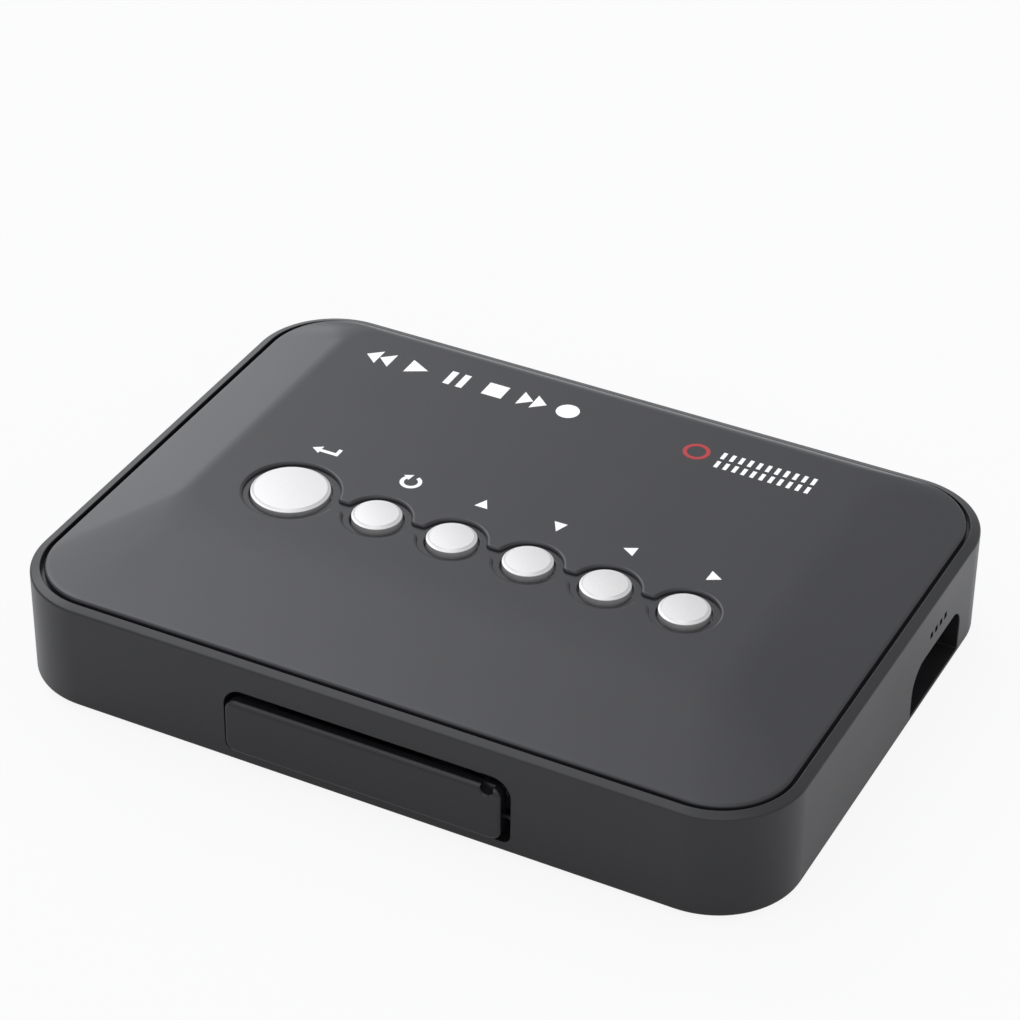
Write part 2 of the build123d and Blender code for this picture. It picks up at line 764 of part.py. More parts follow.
with BuildPart() as status_lamp:
    with BuildSketch(Plane.XY.offset(board_z)):
        with Locations((pipe_x, panel_face_y + pipe_length + lamp_depth / 2)):
            Rectangle(lamp_width, lamp_depth)
    extrude(amount=-lamp_height)
status_lamp.part.label = "status_lamp"
export_step(status_lamp.part, "parts/status_lamp.step")

# Host socket in the side notch: a folded steel shell, a plastic tongue and its contacts
with BuildPart() as usb_shell:
    with BuildSketch(Plane.YZ.offset(notch_floor_x)):
        with Locations((usb_y, usb_middle_z)):
            Rectangle(usb_width, usb_height)
    extrude(amount=-usb_length)
    with BuildSketch(Plane.YZ.offset(notch_floor_x)):
        with Locations((usb_y, usb_middle_z)):
            Rectangle(usb_width - 2 * usb_sheet, usb_height - 2 * usb_sheet)
    extrude(amount=-usb_length + usb_sheet, mode=Mode.SUBTRACT)
usb_shell.part.label = "usb_shell"
export_step(usb_shell.part, "parts/usb_shell.step")

with BuildPart() as usb_tongue:
    with BuildSketch(Plane.YZ.offset(usb_block_x)):
        with Locations((usb_y, usb_middle_z)):
            Rectangle(usb_width - 2 * usb_sheet, usb_height - 2 * usb_sheet)
    extrude(amount=-usb_block)
    with BuildSketch(Plane.YZ.offset(usb_block_x)):
        with Locations((usb_y, usb_tongue_z)):
            Rectangle(usb_tongue_width, usb_tongue_thickness)
    extrude(amount=usb_tongue_length)
usb_tongue.part.label = "usb_tongue"
export_step(usb_tongue.part, "parts/usb_tongue.step")

with BuildPart() as usb_contacts:
    with BuildSketch(Plane.XY.offset(usb_tongue_z - usb_tongue_thickness / 2)):
        with Locations((usb_block_x + usb_contact_length / 2, usb_y)):
            with GridLocations(0, usb_contact_pitch, 1, usb_contact_count):
                Rectangle(usb_contact_length, usb_contact_width)
    extrude(amount=-usb_contact_thickness)
usb_contacts.part.label = "usb_contacts"
export_step(usb_contacts.part, "parts/usb_contacts.step")

# Video socket: a steel shell with two slanted lower corners round a flat tongue
with BuildPart() as video_shell:
    with BuildSketch(Plane.XZ.offset(-video_mouth_y)) as video_outline:
        with Locations((video_x, video_middle_z)):
            Rectangle(video_width, video_height)
        chamfer(video_outline.vertices().group_by(Axis.Y)[0], video_chamfer)
    extrude(amount=video_length)
    with BuildSketch(Plane.XZ.offset(-video_mouth_y)) as video_mouth:
        with Locations((video_x, video_middle_z)):
            Rectangle(video_width - 2 * video_sheet, video_height - 2 * video_sheet)
        chamfer(video_mouth.vertices().group_by(Axis.Y)[0], video_chamfer)
    extrude(amount=video_length - video_sheet, mode=Mode.SUBTRACT)
video_shell.part.label = "video_shell"
export_step(video_shell.part, "parts/video_shell.step")

with BuildPart() as video_tongue:
    with BuildSketch(Plane.XZ.offset(-video_block_y)) as video_block_outline:
        with Locations((video_x, video_middle_z)):
            Rectangle(video_width - 2 * video_sheet, video_height - 2 * video_sheet)
        chamfer(video_block_outline.vertices().group_by(Axis.Y)[0], video_chamfer)
    extrude(amount=video_block)
    with BuildSketch(Plane.XZ.offset(-video_block_y)):
        with Locations((video_x, video_middle_z)):
            Rectangle(video_tongue_width, video_tongue_thickness)
    extrude(amount=-video_tongue_length)
video_tongue.part.label = "video_tongue"
export_step(video_tongue.part, "parts/video_tongue.step")

# Audio socket: a block with a round nose through the wall, bored for a 3.5 mm plug
with BuildPart() as audio_socket:
    with BuildSketch(Plane.XZ.offset(-wall_inner_y)):
        with Locations((audio_x, audio_middle_z)):
            Rectangle(audio_width, audio_height)
    extrude(amount=audio_length)
    with BuildSketch(Plane.XZ.offset(-wall_inner_y)):
        with Locations((audio_x, audio_middle_z)):
            Circle(audio_nose_radius)
    extrude(amount=-(audio_nose_y - wall_inner_y))
    chamfer(audio_socket.edges().group_by(Axis.Y)[-1], audio_chamfer)
    with BuildSketch(Plane.XZ.offset(-audio_nose_y)):
        with Locations((audio_x, audio_middle_z)):
            Circle(audio_bore_radius)
    extrude(amount=audio_bore_length, mode=Mode.SUBTRACT)
audio_socket.part.label = "audio_socket"
export_step(audio_socket.part, "parts/audio_socket.step")

# Power socket: a bored block with a centre pin
with BuildPart() as power_socket:
    with BuildSketch(Plane.XZ.offset(-wall_inner_y)):
        with Locations((power_x, power_middle_z)):
            Rectangle(power_width, power_height)
    extrude(amount=power_length)
    with BuildSketch(Plane.XZ.offset(-wall_inner_y)):
        with Locations((power_x, power_middle_z)):
            Circle(power_bore_radius)
    extrude(amount=power_bore_length, mode=Mode.SUBTRACT)
power_socket.part.label = "power_socket"
export_step(power_socket.part, "parts/power_socket.step")

with BuildPart() as power_pin:
    with BuildSketch(Plane.XZ.offset(-wall_inner_y + power_pin_setback)):
        with Locations((power_x, power_middle_z)):
            Circle(power_pin_radius)
    extrude(amount=power_bore_length - power_pin_setback)
    fillet(power_pin.edges().group_by(Axis.Y)[-1], power_pin_radius / 2)
power_pin.part.label = "power_pin"
export_step(power_pin.part, "parts/power_pin.step")

# Processor with its thermal pad and finned heat sink
with BuildPart() as processor:
    with BuildSketch(Plane.XY.offset(board_top_z)):
        with Locations((processor_x, processor_y)):
            Rectangle(processor_side, processor_side)
    extrude(amount=processor_height)
    chamfer(processor.edges().group_by(Axis.Z)[-1], chip_edge)
processor.part.label = "processor"
export_step(processor.part, "parts/processor.step")

with BuildPart() as thermal_pad:
    with BuildSketch(Plane.XY.offset(board_top_z + processor_height)):
        with Locations((processor_x, processor_y)):
            Rectangle(processor_side - 2 * chip_edge, processor_side - 2 * chip_edge)
    extrude(amount=pad_height)
thermal_pad.part.label = "thermal_pad"
export_step(thermal_pad.part, "parts/thermal_pad.step")

with BuildPart() as heat_sink:
    with BuildSketch(Plane.XY.offset(sink_z)):
        with Locations((processor_x, processor_y)):
            Rectangle(sink_side, sink_side)
    extrude(amount=sink_base)
    with BuildSketch(Plane.XY.offset(sink_z)):
        with Locations((processor_x, processor_y)):
            with GridLocations((sink_side - sink_fin_thickness) / (sink_fin_count - 1), 0, sink_fin_count, 1):
                Rectangle(sink_fin_thickness, sink_side)
    extrude(amount=sink_height)
heat_sink.part.label = "heat_sink"
export_step(heat_sink.part, "parts/heat_sink.step")

# Chips, crystal and other parts soldered to the upper face of the board
with BuildPart() as memory_chips:
    with BuildSketch(Plane.XY.offset(board_top_z)):
        with Locations((memory_x, processor_y)):
            with GridLocations(0, memory_pitch, 1, 2):
                Rectangle(memory_length, memory_width)
    extrude(amount=memory_height)
    chamfer(memory_chips.edges().group_by(Axis.Z)[-1], chip_edge)
memory_chips.part.label = "memory_chips"
export_step(memory_chips.part, "parts/memory_chips.step")

with BuildPart() as flash_chip:
    with BuildSketch(Plane.XY.offset(board_top_z)):
        with Locations((flash_x, flash_y)):
            Rectangle(flash_width, flash_length)
    extrude(amount=flash_height)
    chamfer(flash_chip.edges().group_by(Axis.Z)[-1], chip_edge)
flash_chip.part.label = "flash_chip"
export_step(flash_chip.part, "parts/flash_chip.step")

with BuildPart() as hub_chip:
    with BuildSketch(Plane.XY.offset(board_top_z)):
        with Locations((hub_x, hub_y)):
            Rectangle(hub_side, hub_side)
    extrude(amount=hub_height)
    chamfer(hub_chip.edges().group_by(Axis.Z)[-1], chip_edge)
hub_chip.part.label = "hub_chip"
export_step(hub_chip.part, "parts/hub_chip.step")

with BuildPart() as crystal:
    with BuildSketch(Plane.XY.offset(board_top_z)):
        with Locations((crystal_x, crystal_y)):
            SlotOverall(crystal_length, crystal_width)
    extrude(amount=crystal_height)
crystal.part.label = "crystal"
export_step(crystal.part, "parts/crystal.step")

with BuildPart() as capacitors:
    with BuildSketch(Plane.XY.offset(board_top_z)):
        with Locations((capacitor_x, capacitor_y)):
            with GridLocations(capacitor_pitch, 0, capacitor_count, 1):
                Circle(capacitor_radius)
    extrude(amount=capacitor_height)
capacitors.part.label = "capacitors"
export_step(capacitors.part, "parts/capacitors.step")

with BuildPart() as coils:
    with BuildSketch(Plane.XY.offset(board_top_z)):
        with Locations((coil_x, capacitor_y)):
            with GridLocations(coil_pitch, 0, coil_count, 1):
                RectangleRounded(coil_side, coil_side, coil_side / 5)
    extrude(amount=coil_height)
coils.part.label = "coils"
export_step(coils.part, "parts/coils.step")

with BuildPart() as regulators:
    with BuildSketch(Plane.XY.offset(board_top_z)):
        with Locations((regulator_x, regulator_y)):
            with GridLocations(0, regulator_pitch, 1, regulator_count):
                Rectangle(regulator_width, regulator_depth)
    extrude(amount=regulator_height)
regulators.part.label = "regulators"
export_step(regulators.part, "parts/regulators.step")

# Buttons: a domed cap with a flange and stem, on the plunger of a push switch
for name, cap_x, cap_radius in caps:
    with BuildPart() as button_cap:
        with BuildSketch(Plane.XZ.offset(-cap_row_y)):
            with BuildLine():
                bevel_outer = (cap_x + cap_radius, top_z + cap_proud - cap_bevel_drop)
                bevel_inner = (cap_x + cap_radius - cap_bevel, top_z + cap_proud)
                crown = (cap_x, top_z + cap_proud + cap_dome)
                Polyline(
                    crown,
                    (cap_x, stem_bottom_z),
                    (cap_x + stem_radius, stem_bottom_z),
                    (cap_x + stem_radius, flange_bottom_z),
                    (cap_x + cap_radius + flange_width, flange_bottom_z),
                    (cap_x + cap_radius + flange_width, flange_top_z),
                    (cap_x + cap_radius, flange_top_z),
                    bevel_outer,
                    bevel_inner,
                )
                TangentArc(crown, bevel_inner, tangent=(1, 0))
            make_face()
        revolve(axis=Axis((cap_x, cap_row_y, 0), (0, 0, 1)))
    button_cap.part.label = f"button_{name}"
    export_step(button_cap.part, f"parts/button_{name}.step")

    with BuildPart() as plunger:
        with BuildSketch(Plane.XY.offset(switch_top_z - plunger_sunk)):
            with Locations((cap_x, cap_row_y)):
                Circle(plunger_radius)
        extrude(amount=stem_bottom_z - switch_top_z + plunger_sunk)
    plunger.part.label = f"plunger_{name}"
    export_step(plunger.part, f"parts/plunger_{name}.step")

    with BuildPart() as switch:
        with BuildSketch(Plane.XY.offset(board_top_z)):
            with Locations((cap_x, cap_row_y)):
                Rectangle(switch_side, switch_side)
        extrude(amount=switch_height)
        chamfer(switch.edges().group_by(Axis.Z)[-1], switch_edge)
        with BuildSketch(Plane.XY.offset(switch_top_z)):
            with Locations((cap_x, cap_row_y)):
                Circle(plunger_radius + plunger_gap)
        extrude(amount=-plunger_sunk - cap_travel - plunger_gap, mode=Mode.SUBTRACT)
    switch.part.label = f"switch_{name}"
    export_step(switch.part, f"parts/switch_{name}.step")
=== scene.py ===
import json
import math

import bmesh
import bpy
import numpy as np
from mathutils import Matrix, Vector


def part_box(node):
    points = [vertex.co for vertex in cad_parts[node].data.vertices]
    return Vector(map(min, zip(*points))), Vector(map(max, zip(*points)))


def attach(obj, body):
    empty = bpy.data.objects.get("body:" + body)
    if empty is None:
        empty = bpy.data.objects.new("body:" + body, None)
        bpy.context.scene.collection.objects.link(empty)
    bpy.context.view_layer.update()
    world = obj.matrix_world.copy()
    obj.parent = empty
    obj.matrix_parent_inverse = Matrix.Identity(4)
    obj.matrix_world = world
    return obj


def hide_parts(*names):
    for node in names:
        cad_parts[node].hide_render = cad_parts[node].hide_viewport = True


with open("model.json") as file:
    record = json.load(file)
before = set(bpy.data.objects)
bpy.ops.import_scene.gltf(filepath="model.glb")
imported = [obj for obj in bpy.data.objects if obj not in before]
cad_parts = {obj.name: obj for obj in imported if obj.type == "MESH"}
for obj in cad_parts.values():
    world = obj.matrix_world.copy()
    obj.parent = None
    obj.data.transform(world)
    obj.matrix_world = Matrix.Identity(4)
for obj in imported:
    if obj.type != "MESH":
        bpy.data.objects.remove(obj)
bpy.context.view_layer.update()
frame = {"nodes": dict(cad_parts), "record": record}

MM = 0.001

# Boxes of the solids, in metres
plate_low, plate_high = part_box("top_plate")
shell_low, shell_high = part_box("main_shell")
flap_low, flap_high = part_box("front_flap")
panel_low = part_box("port_panel")[0]

# Top plate: its heights, its edge and the hollow under it
plate_crown = 1.2 * MM
plate_edge = 1.4 * MM
plate_hollow = 0.5 * MM
plate_top = plate_high.z
plate_edge_z = plate_top - plate_crown
plate_ledge_z = plate_edge_z - plate_edge
plate_under_z = plate_ledge_z + plate_hollow
plate_corner = 10.8 * MM
plate_edge_round = 0.5 * MM
plate_back_lift = 0.45 * MM
plate_back_reach = 0.05 * MM
plate_band = 5.0 * MM

# Its four slopes, right, back, left and front: their widths, and the softness of their creases as a share
slope_widths = np.array((15.9, 1.5, 10.4, 23.7)) * MM
slope_softness = np.array((0.16, 0.95, 0.09, 0.18))
slope_rings = 48
field_round = 4.0 * MM

# Its recess, and its bosses for the case screws
recess_depth = 0.55 * MM
recess_floor = plate_top - recess_depth
recess_border = 1.3 * MM
recess_edge_round = 0.5 * MM
half_neck = 1.0 * MM
neck_round = 0.9 * MM
hole_edge_round = 0.12 * MM
boss_radius = 3.0 * MM
boss_bore = 1.1 * MM
boss_low_z = 6.0 * MM
boss_bore_top = 11.2 * MM
boss_sunk = 0.3 * MM
boss_x = 51.5 * MM
boss_y = 35.3 * MM

# Buttons in the row, from left to right
button_names = ("return", "repeat", "up", "down", "left", "right")
cap_bevel = 0.5 * MM
cap_dome = 0.1 * MM
cap_tip_share = 0.02
cap_bevel_drop = 0.3 * MM
cap_edge_round = 0.12 * MM
cap_gap = 0.3 * MM
large_cap_drop = 0.22 * MM
large_cap_growth = 0.06 * MM
large_cap_shift = -0.15 * MM
flange_width = 0.9 * MM
flange_thickness = 0.7 * MM
flange_gap = 0.2 * MM
flange_top_z = plate_under_z - flange_gap
stem_radius = 1.9 * MM
row_y = sum(corner.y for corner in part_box("button_return")) / 2

# Shell: its wall, rim, ledge and stops, and how far a piece that joins it is sunk into it
shell_corner = 12.9 * MM
wall_thickness = 2.0 * MM
shell_inside = (shell_high.x - wall_thickness, shell_high.y - wall_thickness)
foot_round = 0.5 * MM
crease_round = 0.4 * MM
rim_side = 1.55 * MM
rim_front = 1.42 * MM
rim_rise = 0.55 * MM
rim_slope = rim_rise / rim_side
rim_edge_round = 0.12 * MM
plate_proud = 0.1 * MM
wall_top_z = plate_edge_z - (plate_proud + rim_rise)
ledge_inset = 3.55 * MM
ledge_thickness = 1.2 * MM
stop_length = 8.0 * MM
stop_width = 1.2 * MM
stop_height = 1.5 * MM
stop_low_z = 2.6 * MM
stop_spread_x = 37 * MM
stop_spread_y = 20 * MM
sunk = 0.2 * MM

# Side notch, seen from the right: its lower front and upper back corner, and its rounds from the latter on
notch_low = (8.6 * MM, 1.8 * MM)
notch_high = (27.2 * MM, 9.55 * MM)
notch_rounds = (3.2 * MM, 4.0 * MM, 0.3 * MM, 0.3 * MM)
notch_scoop = 3.0 * MM
notch_depth = 3.4 * MM
notch_floor_x = shell_high.x - notch_depth
notch_edge_round = 0.15 * MM
notch_wall = 1.2 * MM
notch_wall_lift = 0.02 * MM
host_gap = 0.15 * MM

# Plain engraved bars above the notch: their places along Y, and their size
engraved_places = (14.9 * MM, 16.7 * MM, 18.5 * MM, 20.3 * MM)
engraved_width = 1.0 * MM
engraved_depth = 0.3 * MM
engraved_low_z = 11.9 * MM

# Windows in the back wall
video_gap = 0.4 * MM
video_slant = 1.6 * MM
round_windows = (("audio_socket", 2.9 * MM), ("power_socket", 2.7 * MM))
round_window_edge = 0.2 * MM

# Flap, its ears and its pins: its face goes further up and down than its solid
flap_rise = 0.15 * MM
flap_drop = 1.3 * MM
flap_thickness = 1.8 * MM
flap_corner = 1.6 * MM
flap_edge_round = 0.45 * MM
flap_brow_round = 0.9 * MM
ear_radius = 1.15 * MM
ear_width = 1.5 * MM
pin_radius = 0.38 * MM
pin_reach = 1.65 * MM
pin_gap = 0.05 * MM
pivot_rise = 1.7 * MM
flap_pivot = (0, flap_high.y - ear_radius, flap_low.z + pivot_rise)
nail_notch_radius = 1.0 * MM
nail_notch_drop = 0.3 * MM
nail_notch_inset = 2.2 * MM
nail_notch_depth = 1.2 * MM
nail_notch_flare = 0.25 * MM

# Opening round the flap: how far the pins reach past its ends, and its gaps under and over the face
pin_cover_left = 0.92 * MM
pin_cover_right = 0.7 * MM
gap_under = 0.85 * MM
gap_over = 1.2 * MM
opening_low = (flap_low.x + pin_cover_left, flap_low.z - flap_drop - gap_under)
opening_high = (flap_high.x - pin_cover_right, flap_high.z + flap_rise + gap_over)
opening_rounds = (3.0 * MM, 3.0 * MM, 1.2 * MM, 1.2 * MM)
opening_edge_round = 0.12 * MM

# Bay of the port panel behind it
bay_depth = 3.9 * MM
bay_short = 0.02 * MM
bay_edge_round = 0.05 * MM

# Film of ink: how far it reaches into the plate's field and above it
ink_thickness = 0.02 * MM

# Shares of plain white in the floor, in mirrors and to the camera
floor_mirror_share = 0.2
floor_seen_share = 0.9


# Colours and materials

def to_linear(hex_colour):
    """An sRGB colour such as "#8A8B8C" as the linear red, green, blue and alpha that a shader takes."""
    channels = [int(hex_colour[at:at + 2], 16) / 255 for at in (1, 3, 5)]
    linear = [c / 12.92 if c <= 0.04045 else ((c + 0.055) / 1.055) ** 2.4 for c in channels]
    return (*linear, 1.0)


def add_node(tree, kind, values=None, links=None, **settings):
    """A new node of that kind in the tree, with its settings, its sockets' values and the links into it."""
    made = tree.nodes.new(kind)
    for name, setting in settings.items():
        setattr(made, name, setting)
    for name, value in (values or {}).items():
        made.inputs[name].default_value = value
    for name, source in (links or {}).items():
        tree.links.new(source, made.inputs[name])
    return made


def new_finish(name, colour, roughness, **sockets):
    """A material named for its finish, with its shader and the piece's own coordinates."""
    material = bpy.data.materials.new(name)
    material.use_nodes = True
    tree = material.node_tree
    shader = tree.nodes["Principled BSDF"]
    shader.inputs["Base Color"].default_value = to_linear(colour)
    shader.inputs["Roughness"].default_value = roughness
    for socket, value in sockets.items():
        shader.inputs[socket.replace("_", " ")].default_value = value
    place = add_node(tree, "ShaderNodeTexCoord").outputs["Object"]
    return material, tree, shader, place


def grain(tree, shader, place, size, depth, detail=2.0):
    """Bumps of that size and depth in metres, from smooth noise over the piece's own coordinates."""
    noise = add_node(tree, "ShaderNodeTexNoise", {"Scale": 1 / size, "Detail": detail}, {"Vector": place})
    height = noise.outputs["Fac"]
    bump = add_node(tree, "ShaderNodeBump", {"Strength": 1.0, "Distance": depth}, {"Height": height})
    tree.links.new(bump.outputs["Normal"], shader.inputs["Normal"])


def uneven(tree, shader, place, socket, low, high, size, detail=3.0):
    """Lets one of the shader's numbers drift between low and high in patches of that size."""
    noise = add_node(tree, "ShaderNodeTexNoise", {"Scale": 1 / size, "Detail": detail}, {"Vector": place})
    span = add_node(
        tree,
        "ShaderNodeMapRange",
        {"From Min": 0.2, "From Max": 0.8, "To Min": low, "To Max": high},
        {"Value": noise.outputs["Fac"]},
    )
    tree.links.new(span.outputs["Result"], shader.inputs[socket])


def mottled(tree, shader, place, first, second, size, detail=3.0):
    """Lets the colour drift between two shades in patches of that size."""
    noise = add_node(tree, "ShaderNodeTexNoise", {"Scale": 1 / size, "Detail": detail}, {"Vector": place})
    shades = add_node(tree, "ShaderNodeValToRGB", links={"Fac": noise.outputs["Fac"]})
    shades.color_ramp.elements[0].position = 0.2
    shades.color_ramp.elements[0].color = to_linear(first)
    shades.color_ramp.elements[1].position = 0.8
    shades.color_ramp.elements[1].color = to_linear(second)
    tree.links.new(shades.outputs["Color"], shader.inputs["Base Color"])


def satin_abs(name, dark, light, roughness):
    """Charcoal ABS from a fine-polished mould: a soft sheen with faint flow marks and a skin of fine ripples.

    The flow marks are 9 mm across and the ripples 0.5 mm.
    """
    material, tree, shader, place = new_finish(name, dark, roughness, IOR=1.5)
    mottled(tree, shader, place, dark, light, 9 * MM)
    uneven(tree, shader, place, "Roughness", roughness - 0.02, roughness + 0.03, 14 * MM)
    grain(tree, shader, place, 0.5 * MM, 0.0008 * MM)
    return material


def spark_textured_abs():
    """Black ABS from a spark-textured mould: dull, with pits about 0.25 mm across."""
    material, tree, shader, place = new_finish("spark_textured_black_abs", "#262627", 0.62, IOR=1.5)
    mottled(tree, shader, place, "#232324", "#2B2B2C", 6 * MM)
    grain(tree, shader, place, 0.25 * MM, 0.02 * MM, 3.0)
    return material


def silver_lacquer():
    """Silver-white lacquer on ABS: fine metal flakes, drawn 0.2 mm across, that mirror the room softly."""
    material, tree, shader, place = new_finish("silver_white_lacquer", "#DAD9D7", 0.34, Metallic=0.6)
    mottled(tree, shader, place, "#D6D5D3", "#DFDEDC", 0.2 * MM)
    return material


def screen_ink(name, colour):
    """Screen-printed ink: matt and opaque, with a faint weave of the 0.15 mm screen in its surface."""
    material, tree, shader, place = new_finish(name, colour, 0.55)
    grain(tree, shader, place, 0.15 * MM, 0.003 * MM)
    return material


def dark_rubber():
    """Dark grey moulded rubber: matt, with a dusty bloom in 1.5 mm patches."""
    material, tree, shader, place = new_finish("dark_moulded_rubber", "#2A2A2A", 0.8, Sheen_Weight=0.15)
    mottled(tree, shader, place, "#272727", "#313130", 1.5 * MM)
    grain(tree, shader, place, 0.3 * MM, 0.01 * MM)
    return material


def black_zinc_steel():
    """Black zinc plated steel: dark metal with turned marks and patchy passivation, 0.8 mm across."""
    material, tree, shader, place = new_finish("black_zinc_steel", "#55555A", 0.38, Metallic=1.0)
    mottled(tree, shader, place, "#4A4A50", "#646468", 0.8 * MM)
    uneven(tree, shader, place, "Roughness", 0.28, 0.45, 0.5 * MM)
    return material


def tinned_sheet():
    """Tin plated sheet steel: bright rolled metal, with rolling lines 0.08 mm apart drawn along the sheet."""
    material, tree, shader, place = new_finish("tinned_sheet_steel", "#C4C5C6", 0.3, Metallic=1.0)
    stretched = add_node(tree, "ShaderNodeMapping", {"Scale": (1.0, 12.0, 12.0)}, {"Vector": place})
    uneven(tree, shader, stretched.outputs["Vector"], "Roughness", 0.22, 0.4, 1 * MM)
    grain(tree, shader, stretched.outputs["Vector"], 1 * MM, 0.001 * MM)
    return material


def gold_flash():
    """Gold flash on a spring contact: smooth yellow metal, a little duller in 0.4 mm patches."""
    material, tree, shader, place = new_finish("gold_flash_contact", "#D9B45A", 0.25, Metallic=1.0)
    uneven(tree, shader, place, "Roughness", 0.2, 0.35, 0.4 * MM)
    return material


def solder_mask():
    """Green solder mask on a laminate: glossy, over copper tracks that show as lighter bands 0.9 mm apart."""
    material, tree, shader, place = new_finish("green_solder_mask", "#14512F", 0.32, Coat_Weight=0.3)
    tracks = add_node(
        tree,
        "ShaderNodeTexBrick",
        {
            "Color1": to_linear("#12482B"),
            "Color2": to_linear("#175A35"),
            "Mortar": to_linear("#1E6B40"),
            "Scale": 1.0,
            "Mortar Size": 0.12 * MM,
            "Brick Width": 7 * MM,
            "Row Height": 0.9 * MM,
        },
        {"Vector": place},
    )
    tree.links.new(tracks.outputs["Color"], shader.inputs["Base Color"])
    grain(tree, shader, place, 1.2 * MM, 0.004 * MM)
    return material


def socket_moulding():
    """Black glass-filled moulding: dull, with a fibrous skin of 0.3 mm."""
    material, tree, shader, place = new_finish("glass_filled_moulding", "#1D1D1E", 0.55)
    mottled(tree, shader, place, "#1A1A1B", "#232324", 0.8 * MM)
    grain(tree, shader, place, 0.3 * MM, 0.006 * MM)
    return material


def infrared_resin():
    """Infrared-clear cast resin: nearly black, with a deep red glow in thin places and a polished skin."""
    material, tree, shader, place = new_finish("infrared_clear_resin", "#24080F", 0.08, Coat_Weight=0.6)
    mottled(tree, shader, place, "#1C060C", "#300B16", 2 * MM)
    return material


def clear_acrylic():
    """Clear acrylic rod: transparent, with a frosted end of 0.2 mm grain."""
    material, tree, shader, place = new_finish(
        "clear_acrylic_rod", "#E8EEF0", 0.15, Transmission_Weight=0.85, IOR=1.49
    )
    grain(tree, shader, place, 0.2 * MM, 0.004 * MM)
    return material


def epoxy_moulding():
    """Black epoxy chip moulding: matt grey-black, with 0.2 mm release-agent grain."""
    material, tree, shader, place = new_finish("epoxy_chip_moulding", "#222224", 0.6)
    mottled(tree, shader, place, "#1F1F21", "#29292B", 1.5 * MM)
    grain(tree, shader, place, 0.2 * MM, 0.005 * MM)
    return material


def silicone_pad():
    """Soft silicone pad: blue-grey, filled with 0.4 mm ceramic specks."""
    material, tree, shader, place = new_finish("filled_silicone_pad", "#8A98A6", 0.7, Subsurface_Weight=0.05)
    mottled(tree, shader, place, "#7F8E9C", "#97A4B0", 0.4 * MM)
    return material


def extruded_aluminium():
    """Plain extruded aluminium: pale metal with die lines 0.3 mm apart along the fins."""
    material, tree, shader, place = new_finish("extruded_aluminium", "#C9CBCD", 0.34, Metallic=1.0)
    stretched = add_node(tree, "ShaderNodeMapping", {"Scale": (10.0, 1.0, 10.0)}, {"Vector": place})
    uneven(tree, shader, stretched.outputs["Vector"], "Roughness", 0.26, 0.44, 3 * MM)
    grain(tree, shader, stretched.outputs["Vector"], 3 * MM, 0.002 * MM)
    return material


def sintered_ferrite():
    """Sintered ferrite: dull dark grey with 0.3 mm grains."""
    material, tree, shader, place = new_finish("sintered_ferrite", "#3B3B3D", 0.6)
    mottled(tree, shader, place, "#343436", "#454548", 0.3 * MM)
    grain(tree, shader, place, 0.3 * MM, 0.008 * MM)
    return material


def paper_floor():
    """White paper sweep: matt and even, close to white to the camera, with the object's shadow on it.

    Part of it is plain white light: one share for the camera, and another for mirrors and clear pieces.
    """
    material, tree, shader, place = new_finish("white_paper_sweep", "#D2D2D2", 0.9)
    mottled(tree, shader, place, "#D1D1D1", "#D3D3D3", 60 * MM)
    light_path = add_node(tree, "ShaderNodeLightPath")
    mirrored = add_node(
        tree,
        "ShaderNodeMath",
        links={0: light_path.outputs["Is Glossy Ray"], 1: light_path.outputs["Is Transmission Ray"]},
        operation="MAXIMUM",
    )
    dimmed = add_node(
        tree,
        "ShaderNodeMath",
        {1: floor_mirror_share},
        {0: mirrored.outputs[0]},
        operation="MULTIPLY",
    )
    share = add_node(
        tree,
        "ShaderNodeMath",
        {1: floor_seen_share},
        {0: light_path.outputs["Is Camera Ray"], 2: dimmed.outputs[0]},
        operation="MULTIPLY_ADD",
    )
    white = add_node(tree, "ShaderNodeEmission", {"Color": (1, 1, 1, 1), "Strength": 1.0})
    blend = add_node(tree, "ShaderNodeMixShader", links={"Fac": share.outputs[0]})
    tree.links.new(shader.outputs["BSDF"], blend.inputs[1])
    tree.links.new(white.outputs["Emission"], blend.inputs[2])
    tree.links.new(blend.outputs["Shader"], tree.nodes["Material Output"].inputs["Surface"])
    return material


# The walls' copy of the charcoal ABS is darker than the plate's: painted shade, standing in for the shaded
# floor that the walls mirror.
shaded_wall_finish = satin_abs("satin_charcoal_abs", "#1E1E20", "#212122", 0.3)
plate_finish = satin_abs("satin_charcoal_abs_plate", "#28282B", "#2A2A2D", 0.23)
flap_finish = satin_abs("satin_charcoal_abs_flap", "#151417", "#18171A", 0.26)
textured_finish = spark_textured_abs()
cap_finish = silver_lacquer()
white_ink = screen_ink("white_screen_ink", "#FFFFFF")
red_ink = screen_ink("red_screen_ink", "#B02A30")
slot_finishes = {
    "case_gloss": shaded_wall_finish,
    "plate_gloss": plate_finish,
    "flap_gloss": flap_finish,
    "base_textured": textured_finish,
    "foot_rubber": dark_rubber(),
    "screw_steel": black_zinc_steel(),
    "board_laminate": solder_mask(),
    "socket_moulding": socket_moulding(),
    "socket_steel": tinned_sheet(),
    "contact_gold": gold_flash(),
    "ir_resin": infrared_resin(),
    "clear_acrylic": clear_acrylic(),
    "chip_moulding": epoxy_moulding(),
    "pad_silicone": silicone_pad(),
    "sink_aluminium": extruded_aluminium(),
    "coil_ferrite": sintered_ferrite(),
    "cap_silver": cap_finish,
    "switch_moulding": socket_moulding(),
}
for row in frame["record"]["subparts"]:
    for material_slot in frame["nodes"][row["node"]].material_slots:
        material_slot.material = slot_finishes[row["material_slot"]]


# Meshes from grids of points

